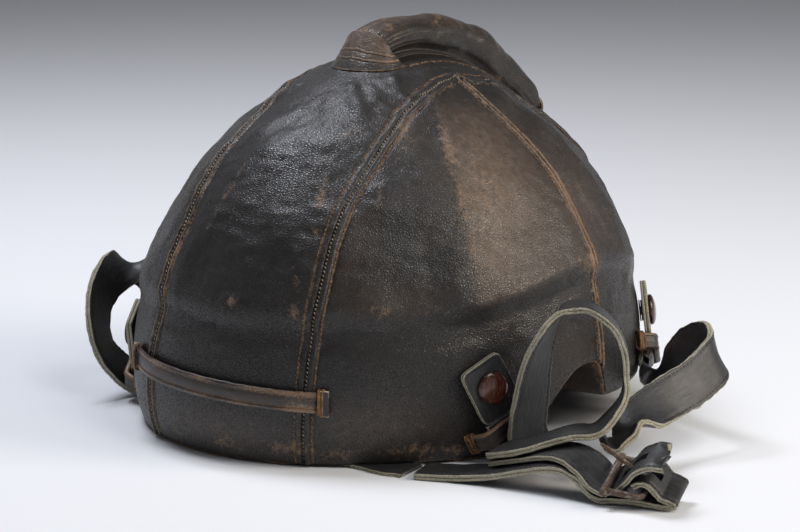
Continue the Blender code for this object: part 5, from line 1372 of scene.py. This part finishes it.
def slotted(piece, reach, rise):
    """Cuts the slot that the prong passes through."""
    bm = bmesh.new()
    bmesh.ops.create_cube(bm, size=1.0)
    size = ((reach[1] - reach[0]) * BUCKLE_LENGTH, 4.6 * MM, (rise[1] - rise[0]) * BUCKLE_LENGTH)
    middle = (sum(reach) * 0.5 * BUCKLE_LENGTH, 0, sum(rise) * 0.5 * BUCKLE_LENGTH)
    bmesh.ops.scale(bm, verts=bm.verts, vec=size)
    bmesh.ops.translate(bm, verts=bm.verts, vec=middle)
    columns = Matrix([front_line, -bar_line, buckle_out]).transposed().to_4x4()
    bm.transform(Matrix.Translation(buckle_place) @ columns)
    mesh = bpy.data.meshes.new("slot")
    bm.to_mesh(mesh)
    bm.free()
    tool = bpy.data.objects.new("slot", mesh)
    bpy.context.scene.collection.objects.link(tool)
    change = piece.modifiers.new("slot", "BOOLEAN")
    change.object = tool
    change.solver = "EXACT"
    bpy.context.view_layer.update()
    made = bpy.data.meshes.new_from_object(piece.evaluated_get(bpy.context.evaluated_depsgraph_get()))
    piece.modifiers.clear()
    piece.data = made
    bpy.data.objects.remove(tool, do_unlink=True)


centres, widths = stacked(BUCKLE_ROUTE, CHIN_RIGHT_ROWS, (STRAP_THICKNESS, TONGUE_THICKNESS))
tongue = buckle_points(TONGUE_REACH)
piece = strap("chin_band_right", np.vstack([centres, tongue]), np.vstack([widths, [bar_line] * len(tongue)]),
              TONGUE_THICKNESS, "chin_strap_right", end_shape=torn_end, wobble=0.2)
slotted(piece, (0.10, 0.72), (-0.2, 0.8))
centres, widths = route(BUCKLE_ROUTE)
fold = buckle_points(BUCKLE_FOLD)
piece = strap("buckle_band", np.vstack([centres, fold]), np.vstack([widths, [bar_line] * len(fold)]),
              STRAP_THICKNESS, "buckle_strap")
slotted(piece, (-0.33, 0.60), (0.0, 0.5))

# Sewing along the straps' faces
STITCH_INSET = 1.9
strap_rows = []
for name, (line, lying, thickness) in strap_lines.items():
    if name == "chin_band_left":
        continue
    along, across, up = band_frame(line, lying)
    for aside in (-1, 1):
        for face in (-1, 1):
            row = line + across * aside * (STRAP_WIDTH / 2 - STITCH_INSET) * MM
            row = row + up * face * (thickness / 2 - 0.02) * MM
            strap_rows += stitch_places(row[3:-6], up[3:-6] * face, 2.6 * MM, 1.5 * MM, 0.5 * MM)
many("strap_stitches", STITCH, strap_rows, DARK_THREAD, "shell")


# Section of a tab from its middle out to its edge: share of the reach, and level between
# its core and its face
TAB_SECTION = [(0.0, 1), (0.15, 1), (0.3, 1), (0.45, 1), (0.6, 1), (0.72, 1), (0.80, 1), (0.845, 0.93),
               (0.87, 0.90), (0.895, 0.93), (0.93, 1), (0.965, 1.0), (0.985, 0.96), (0.998, 0.80),
               (1.0, 0.5), (0.994, 0.12), (0.975, 0.0)]


def rounded_reach(x, y, power):
    """How far a direction goes to a rectangle with rounded corners."""
    return (np.abs(x) ** power + np.abs(y) ** power) ** (-1 / power)


def tab_mesh(name, corner):
    """Two layers of strap leather, sewn and cut, slightly domed by the snap."""
    half_width = 11.25
    half_length = 14.25
    middle = half_length - HINGE_REACH / MM - 1.5
    radial = TAB_SECTION + [(reach, -level) for reach, level in TAB_SECTION[-2::-1]]
    rows = len(radial) - 1
    reach, level = np.array(radial).T

    def place(u, v):
        j = np.rint(v * rows).astype(int)
        turn = u * tau
        size = rounded_reach(np.cos(turn) / half_width, np.sin(turn) / half_length, 9.0)
        x = np.cos(turn) * size * reach[j]
        y = middle + np.sin(turn) * size * reach[j]
        z = level[j] * 1.5 + 1.5
        z = z + 0.35 * hill(np.hypot(x, y), 0.0, 9) * (level[j] > 0)
        x = x + (reach[j] > 0.99) * 0.16 * np.sin(turn * 37 + 2 * np.sin(turn * 11))
        raw = np.clip((reach[j] - 0.962) / 0.02, 0, 1)
        core = hill(level[j], 0.0, 0.14) * (reach[j] > 0.97)
        start, across, along, out = snap_axes(*SNAPS[corner])
        lay = np.stack([x, y, z], -1) * MM
        points = start + out * TAB_LIFT + lay @ np.array([across, along, out])
        wear = 0.15 + 0.12 * waves(points, 10, 12, 61)
        return points, {"edge": raw, "core": core, "wear": wear, "lay": lay}
    return closed_up(moved_grid(name, 120, rows, place))


# A cap's dome by its turns from the top, then radii and heights in mm of its rim over the
# tab and of its post through the tab
CAP_RADIUS = 7.8
CAP_TURNS = (0, 8, 16, 25, 34, 43, 52, 61, 70, 79, 87)
CAP_RIM = [(7.8, 0.75), (7.78, 0.3), (7.5, 0), (3.6, 0)]
CAP_POST = [(3.6, 2.0), (5.4, 2.0), (5.4, 1.2), (2.7, 1.2), (2.7, 4.2), (0, 4.2)]


def snap_cap(corner):
    """The enamelled cap with its post, turned about the snap's own line."""
    name = "snap_enamel_" + corner
    foot = TAB_LIFT / MM + STRAP_THICKNESS + 0.3
    profile = [(CAP_RADIUS * sin(radians(turn)), foot + 1.0 + 2.4 * cos(radians(turn)))
               for turn in CAP_TURNS]
    profile += [(radius, foot + height) for radius, height in CAP_RIM] + CAP_POST
    bm = bmesh.new()
    chain = [bm.verts.new((radius * MM, 0, height * MM)) for radius, height in profile]
    edges = [bm.edges.new(pair) for pair in zip(chain, chain[1:])]
    bmesh.ops.spin(bm, geom=chain + edges, cent=(0, 0, 0), axis=(0, 0, 1), angle=tau, steps=56,
                   use_merge=True, use_duplicate=False)
    bmesh.ops.remove_doubles(bm, verts=bm.verts, dist=0.00001)
    bmesh.ops.recalc_face_normals(bm, faces=bm.faces)
    place, across, along, out = snap_axes(*SNAPS[corner])
    columns = Matrix([across, along, out]).transposed().to_4x4()
    mesh = bpy.data.meshes.new(name)
    wear = [0.85 * (abs(hypot(v.co.x, v.co.y) - 7.3 * MM) < 0.5 * MM) for v in bm.verts]
    bm.transform(Matrix.Translation(place) @ columns)
    bm.to_mesh(mesh)
    bm.free()
    layer = mesh.attributes.new("wear", "FLOAT", "POINT")
    layer.data.foreach_set("value", wear)
    finish_piece(mesh, name, ENAMEL, "tab_" + corner, ["snap_cap_" + corner])
    mesh.set_sharp_from_angle(angle=radians(42))


for corner in SNAPS:
    finish_piece(tab_mesh("tab_" + corner, corner), "tab_leather_" + corner, STRAP_HIDE, "tab_" + corner,
                 ["snap_tab_" + corner])
    snap_cap(corner)
    nodes["snap_stud_" + corner].data.materials.clear()
    nodes["snap_stud_" + corner].data.materials.append(STUD_STEEL)


# Loops that hold the straps
def drop_to_shell(corner, x, y):
    """Height of the leather over a snap's own plane, found by halving."""
    low = -LOOP_LENGTH
    high = LOOP_LENGTH
    for _ in range(26):
        middle = 0.5 * (low + high)
        if above_shell(in_snap(corner, x, y, middle)) > 0:
            high = middle
        else:
            low = middle
    return high


def loop_path(corner):
    """A loop's line: flat on the leather at its ends and over the strap between them."""
    crown_line = TAB_LIFT + STRAP_THICKNESS * MM + 0.5 * MM
    spots = []
    for share in (-1.0, -0.90, -0.80, -0.66, -0.3, 0.3, 0.66, 0.80, 0.90, 1.0):
        x = share * 0.5 * LOOP_LENGTH
        rest = drop_to_shell(corner, x, -LOOP_OFFSET) + 0.5 * MM
        lift = min(1.0, (1 - abs(share)) / 0.34)
        lift = lift * lift * (3 - 2 * lift)
        height = rest + lift * (crown_line - rest) + 0.5 * LOOP_THICKNESS
        spots.append(in_snap(corner, x, -LOOP_OFFSET, height))
    return smooth_path(spots, 44)


def tube_mesh(name, path, radius, sides=10, closed=False, rough=0.0):
    """A round bar or thread along a path; the radius may change along it."""
    radius = np.broadcast_to(np.asarray(radius, float), (len(path),))
    along = unit(np.roll(path, -1, 0) - np.roll(path, 1, 0) if closed else np.gradient(path, axis=0))
    first = [unit(np.cross(along[0], [0.3, 0.5, 0.8]))]
    for heading in along[1:]:
        first.append(unit(first[-1] - heading * (first[-1] @ heading)))
    first = np.array(first)
    second = np.cross(along, first)
    rows = len(path) if closed else len(path) - 1

    def place(u, v):
        j = np.rint(v * rows).astype(int) % len(path)
        turn = u * tau
        spoke = first[j] * np.cos(turn)[:, None] + second[j] * np.sin(turn)[:, None]
        points = path[j] + spoke * radius[j][:, None]
        points = points + unit(points - path[j]) * (rough * waves(points, 1.6, 14, 71))[:, None]
        return points, {}
    return closed_up(moved_grid(name, sides, rows, place), join=radius.min() * 0.02)


def wrap_path(middle, along, across, out, half_width, half_height, turns, pitch, seed):
    """Thread wound round a band's end, a little unevenly."""
    source = np.random.default_rng(seed)
    t = np.linspace(0, turns, int(turns * 22))
    turn = t * tau
    size = rounded_reach(np.cos(turn), np.sin(turn), 3.0)
    drift = pitch * t + 0.18 * MM * np.sin(turn * 0.5 + source.uniform(0, 6)) - pitch * turns / 2
    return (middle + across * (np.cos(turn) * size * half_width)[:, None]
            + out * (np.sin(turn) * size * half_height)[:, None] + along * drift[:, None])


def fold_wear(a, b, share):
    return hill(a, 3.9, 0.9) + 0.25 * hill(a, -4.0, 0.8)


for number, corner in enumerate(SNAPS):
    path = loop_path(corner)
    _, across, along, out = snap_axes(*SNAPS[corner])
    widths = np.tile(along, (len(path), 1))
    mesh = band_mesh("loop_" + corner, path, widths, LOOP_WIDTH / MM, LOOP_THICKNESS / MM, fold=True,
                     wobble=0.1, wear=fold_wear)
    finish_piece(mesh, "loop_band_" + corner, LOOP_HIDE, "shell", ["strap_loop_" + corner])
    for end, place, way in (("a", 3, 1), ("b", len(path) - 4, -1)):
        middle = path[place]
        run = unit(path[place + 1] - path[place - 1])
        lift = unit(np.cross(run, along))
        lift = lift if lift @ out > 0 else -lift
        thread = wrap_path(middle, run, along, lift, 4.7 * MM, 1.75 * MM, 4, 0.95 * MM, 80 + number)
        finish_piece(tube_mesh("wrap", thread, 0.55 * MM, sides=8), "loop_wrap_%s_%s" % (corner, end),
                     TAN_THREAD, "shell")


# Strap loop at the back, with the azimuth and the height in mm of its two bound ends
BACK_LEFT = (-23.5, 38.5)
BACK_RIGHT = (31.0, 32.5)
azimuths = np.linspace(BACK_LEFT[0], BACK_RIGHT[0], 61)
shares = np.linspace(0, 1, 61)
middles = (BACK_LEFT[1] + shares * (BACK_RIGHT[1] - BACK_LEFT[1])) * MM
bow = 0.3 * MM + 1.6 * MM * np.minimum(1, np.minimum(6 * shares, 6 * (1 - shares)))
depth = -0.7 * MM - bow - 0.95 * MM
path = dome_point(azimuths, middles, depth)
widths = dome_point(azimuths, middles + 5 * MM, depth) - dome_point(azimuths, middles - 5 * MM, depth)


def back_wear(a, b, share):
    rims = 0.62 * hill(np.abs(a), 4.0, 0.9) + 0.5 * hill(np.abs(a), 2.6, 0.4)
    return rims + 0.45 * hill(share, 1.0, 0.12) - 0.05


mesh = band_mesh("back_loop", path, widths, 10.0, 1.9, fold=True, wobble=0.08, wear=back_wear)
finish_piece(mesh, "back_loop_band", LOOP_HIDE, "shell", ["back_strap_loop"])
along, across, up = band_frame(path, widths)
up = up * np.sign((up * outward(path)).sum(-1, keepdims=True))
places = []
for aside in (-2.7, 2.7):
    row = path + across * aside * MM + up * 0.86 * MM
    places += stitch_places(row[2:-2], up[2:-2], 1.9 * MM, 1.35 * MM, 0.42 * MM)
many("back_loop_stitches", STITCH, places, TAN_THREAD, "shell")


def bound_end(name, azimuth, height_mm, way, replaces):
    """The loop's turned end: raw layers, bound to the shell with thread."""
    stops = azimuth + way * np.linspace(0.15, 2.45, 12)
    height = height_mm * MM + 0 * stops
    line = dome_point(stops, height, -2.4 * MM)
    high = dome_point(stops, height + 5 * MM, -2.4 * MM)
    mesh = band_mesh(name, line, high - line, 11.6, 3.2, wobble=0.35)
    finish_piece(mesh, name, STRAP_HIDE, "shell", [replaces])
    run = unit(line[4] - line[2])
    across = unit(high[3] - line[3])
    thread = wrap_path(line[3], run, across, outward(line[3]), 6.2 * MM, 2.0 * MM, 3, 0.9 * MM, 90 + way)
    finish_piece(tube_mesh("wrap", thread, 0.5 * MM, sides=8), name + "_thread", TAN_THREAD, "shell")


bound_end("back_loop_foot_left", *BACK_LEFT, -1, "back_loop_end_left")
bound_end("back_loop_foot_right", *BACK_RIGHT, 1, "back_loop_end_right")

# Buckle: bent wire ring, thicker front bar and the prong on the heel bar
half_bar = 0.5 * (BUCKLE_INNER_WIDTH + BUCKLE_WIRE)
ring = []
for x_sign, y_sign, start in ((1, 1, 0), (-1, 1, 90), (-1, -1, 180), (1, -1, 270)):
    corner_x = BUCKLE_LENGTH - BUCKLE_WIRE if x_sign > 0 else BUCKLE_WIRE
    for share in np.linspace(0, 1, 9):
        turn = radians(start + 90 * share)
        y = y_sign * (half_bar - BUCKLE_WIRE) + BUCKLE_WIRE * sin(turn)
        ring.append((corner_x + BUCKLE_WIRE * cos(turn), y, 0))
ring_line = np.array([at_buckle(*point) for point in ring])
ring_line = even_line(np.vstack([ring_line, ring_line[:1]]), 0.8 * MM)[:-1]
mesh = tube_mesh("buckle_wire", ring_line, 0.5 * BUCKLE_WIRE, sides=16, closed=True, rough=0.07 * MM)
finish_piece(mesh, "buckle_wire", BUCKLE_STEEL, "buckle", ["buckle_frame"])
bar_length = BUCKLE_INNER_WIDTH + 2 * BUCKLE_WIRE + 2.4 * MM
bar_y = np.linspace(-0.5, 0.5, 60) * bar_length
bar_points = np.array([at_buckle(BUCKLE_LENGTH, y, 0) for y in bar_y])
ends = np.clip((0.5 * bar_length - np.abs(bar_y)) / (0.8 * MM), 0, 1)
bar_radius = 1.85 * MM * (0.55 + 0.45 * np.sqrt(ends)) - 0.22 * MM * hill(bar_y, 3 * MM, 2.6 * MM)
finish_piece(tube_mesh("buckle_bar", bar_points, bar_radius, sides=16, rough=0.10 * MM), "buckle_bar",
             BUCKLE_STEEL, "buckle")
PRONG_LENGTH = 27.5 * MM
# The prong's radius in mm along it
PRONG_TABLE = ((0.16, 0.9), (0.22, 1.08), (0.4, 1.2), (0.58, 1.16), (0.75, 1.1), (0.88, 1.0), (0.95, 0.9),
               (0.985, 0.7), (1.0, 0.45))
eye = 0.5 * BUCKLE_WIRE + 0.3 * MM + 0.65 * MM
prong = []
for share in np.linspace(0, 1, 22):
    turn = radians(120 + 250 * share)
    prong.append((eye * cos(turn), eye * sin(turn), 0.65))
for share, width in PRONG_TABLE:
    prong.append((share * PRONG_LENGTH, eye * 0.17 * (1 - share), width))
lift = radians(33.0)
prong_line = np.array([at_buckle(x * cos(lift) - z * sin(lift), 0, x * sin(lift) + z * cos(lift))
                       for x, z, _ in prong])
prong_radius = np.array([width for _, _, width in prong]) * MM
finish_piece(tube_mesh("buckle_pin", prong_line, prong_radius, sides=12, rough=0.04 * MM), "buckle_pin",
             BUCKLE_STEEL, "prong", ["buckle_prong"])


# Inside: felt, sweatband and lining
def inner_mesh(name, low, high, outer, inner, rows, shape):
    """A layer of the padding between two depths, closed all round."""
    section = [(step / rows, 0.0) for step in range(rows + 1)] + [(1.0, step / 4) for step in range(1, 5)]
    section += [(1 - rise, 1 - deep) for rise, deep in section[1:]]
    rise, deep = np.array(section).T
    last = len(section) - 1

    def place(u, v):
        i = np.rint(v * last).astype(int)
        azimuth = 360 * u
        bottom = low(azimuth)
        height = bottom + rise[i] * (high - bottom)
        soft = shape(azimuth, height, rise[i])
        points = dome_point(azimuth, height, outer + (inner - outer) * deep[i] - deep[i] * soft)
        return points, {"wear": 0.3 + 0 * u, "rub_and_painted_light": 0.3 + 0 * u, "edge": 0 * u, "core": 0 * u}
    return closed_up(moved_grid(name, 160, last, place))


def wall_foot(azimuth):
    return edge_height(azimuth, 5.3 * MM)


def puffed(azimuth, height, rise):
    return 0.7 * MM * np.sin(pi * np.clip(rise, 0, 1)) ** 0.5 - 0.5 * MM


def waved(azimuth, height, rise):
    return 0.25 * MM * np.sin(np.radians(azimuth) * 31) * rise - 0.2 * MM


def sunk(azimuth, height, rise):
    return 0 * rise - 0.3 * MM


# Depths of the layers under the leather's face
felt_out = 4.8 * MM
felt_in = 21.3 * MM
band_out = 22.9 * MM
band_in = 24.1 * MM
mesh = inner_mesh("felt_ring", wall_foot, 111.0 * MM, felt_out, felt_in - 0.7 * MM, 24, puffed)
ring_pad = finish_piece(mesh, "felt_ring", FELT, "shell", ["felt_padding_ring"])


def crown_layer(name, low, outer, inner, finish, replaces, soft):
    """A bowl-shaped layer over the crown, closed at its edge."""
    bottom = np.interp(low / SHELL_HEIGHT, fine_heights, fine_angles)

    def place(u, v):
        azimuth = 360 * u
        inside = v > 0.5
        share = np.where(inside, 2 * (1 - v), 2 * v)
        angle = bottom + (np.radians(90) - bottom) * (1 - share)
        turn = np.radians(azimuth)
        level = np.cos(angle)
        direction = np.stack([-np.sin(turn) * level, np.cos(turn) * level, np.sin(angle)], -1)
        waviness = soft(azimuth, 0, share) * inside
        points = on_dome(direction, np.where(inside, inner, outer) - waviness)
        return points, {"wear": 0.3 + 0 * u, "rub_and_painted_light": 0.3 + 0 * u, "edge": 0 * u, "core": 0 * u}
    mesh = closed_up(moved_grid(name, 150, 120, place))
    return finish_piece(mesh, name, finish, "shell", [replaces])


def ribbed(azimuth, height, share):
    return (0.5 * np.sin(np.radians(azimuth) * 24) * share * (1 - share) * 3 - 0.2) * MM


crown_pad = crown_layer("felt_crown", 111.6 * MM, felt_out, felt_in - 0.5 * MM, FELT,
                        "felt_padding_crown", sunk)
mesh = inner_mesh("sweatband", wall_foot, 53.8 * MM, band_out, band_in - 0.1 * MM, 14, waved)
finish_piece(mesh, "sweatband", SWEATBAND_HIDE, "shell", ["leather_sweatband"])
crown_layer("crown_lining", 54.6 * MM, band_out, band_in - 0.2 * MM, LINING_HIDE,
            "lining_crown", ribbed)
for name, node in nodes.items():
    if name.startswith("steel_plate"):
        node.data.materials.clear()
        node.data.materials.append(PLATE_STEEL)

# Floor, light and camera
bm = bmesh.new()
bmesh.ops.create_grid(bm, x_segments=1, y_segments=1, size=4.0)
mesh = bpy.data.meshes.new("floor")
bm.to_mesh(mesh)
bm.free()
floor = bpy.data.objects.new("floor", mesh)
bpy.context.scene.collection.objects.link(floor)
paper, tree, shader, coords = new_finish("paper_floor", roughness=0.8)
shader.inputs["Base Color"].default_value = linear("#eef0f3")
mesh.materials.append(paper)

world = bpy.data.worlds.new("studio")
bpy.context.scene.world = world
world.use_nodes = True
tree = world.node_tree
back = tree.nodes["Background"]
back.inputs["Color"].default_value = linear("#e9ecf2")
back.inputs["Strength"].default_value = 0.13
sky = add(tree, "ShaderNodeTexCoord").outputs["Generated"]
way_up = add(tree, "ShaderNodeSeparateXYZ", {}, {0: sky}).outputs["Z"]
shade = mix(tree, spread(tree, way_up, 0.0, 0.55), "#c6c8cd", "#2b2c32")
backdrop = add(tree, "ShaderNodeBackground", {}, {"Color": shade})
rays = add(tree, "ShaderNodeLightPath")
seen = math(tree, "ADD", rays.outputs["Is Camera Ray"], rays.outputs["Is Glossy Ray"], True)
seen = math(tree, "ADD", seen, rays.outputs["Is Transmission Ray"], True)
chosen = add(tree, "ShaderNodeMixShader", {}, {0: seen, 1: back.outputs[0], 2: backdrop.outputs[0]})
tree.links.new(tree.nodes["World Output"].inputs["Surface"], chosen.outputs[0])


def soft_box(name, place, aim, width, height, level, colour):
    """A studio soft box: the level is the share of full white that it gives a surface facing it."""
    lamp = bpy.data.lights.new(name, "AREA")
    lamp.shape = "RECTANGLE"
    lamp.size = width
    lamp.size_y = height
    distance = (Vector(place) - Vector(aim)).length
    lamp.energy = level * 4 * pi * distance ** 2
    lamp.color = linear(colour)[:3]
    holder = bpy.data.objects.new(name, lamp)
    holder.location = place
    holder.rotation_euler = (Vector(aim) - Vector(place)).to_track_quat("-Z", "Y").to_euler()
    bpy.context.scene.collection.objects.link(holder)


LAMP_AIM = (0, 0, 0.10)
soft_box("top_box", (0.62, 0.02, 1.45), LAMP_AIM, 0.62, 0.62, 0.62, "#f2f5ff")
soft_box("right_box", (-1.25, -0.56, 0.78), LAMP_AIM, 0.7, 0.55, 0.46, "#fff4e6")
soft_box("roof_box", (-0.78, 0.12, 1.15), LAMP_AIM, 0.5, 0.6, 0.22, "#f6f6f6")

# The camera's place round the object, its aim, and its focal length in image widths
AZIMUTH = radians(41.674)
ELEVATION = radians(10.392)
CAMERA_DISTANCE = 1.35
CAMERA_AIM = Vector((0, 0, 0.09))
FOCAL_WIDTHS = 2672.6 / 800
SENSOR_WIDTH = 36.0
towards_camera = Vector((-sin(AZIMUTH) * cos(ELEVATION), cos(AZIMUTH) * cos(ELEVATION), sin(ELEVATION)))
camera_data = bpy.data.cameras.new("camera")
camera_data.sensor_width = SENSOR_WIDTH
camera_data.lens = FOCAL_WIDTHS * SENSOR_WIDTH
camera_data.shift_x = 0.0122
camera_data.shift_y = -0.0465
camera_data.clip_start = 0.05
camera_data.clip_end = 20.0
camera = bpy.data.objects.new("camera", camera_data)
camera.location = CAMERA_AIM + towards_camera * CAMERA_DISTANCE
camera.rotation_euler = (-towards_camera).to_track_quat("-Z", "Y").to_euler()
bpy.context.scene.collection.objects.link(camera)
bpy.context.scene.camera = camera
bpy.context.scene.view_settings.view_transform = "Standard"
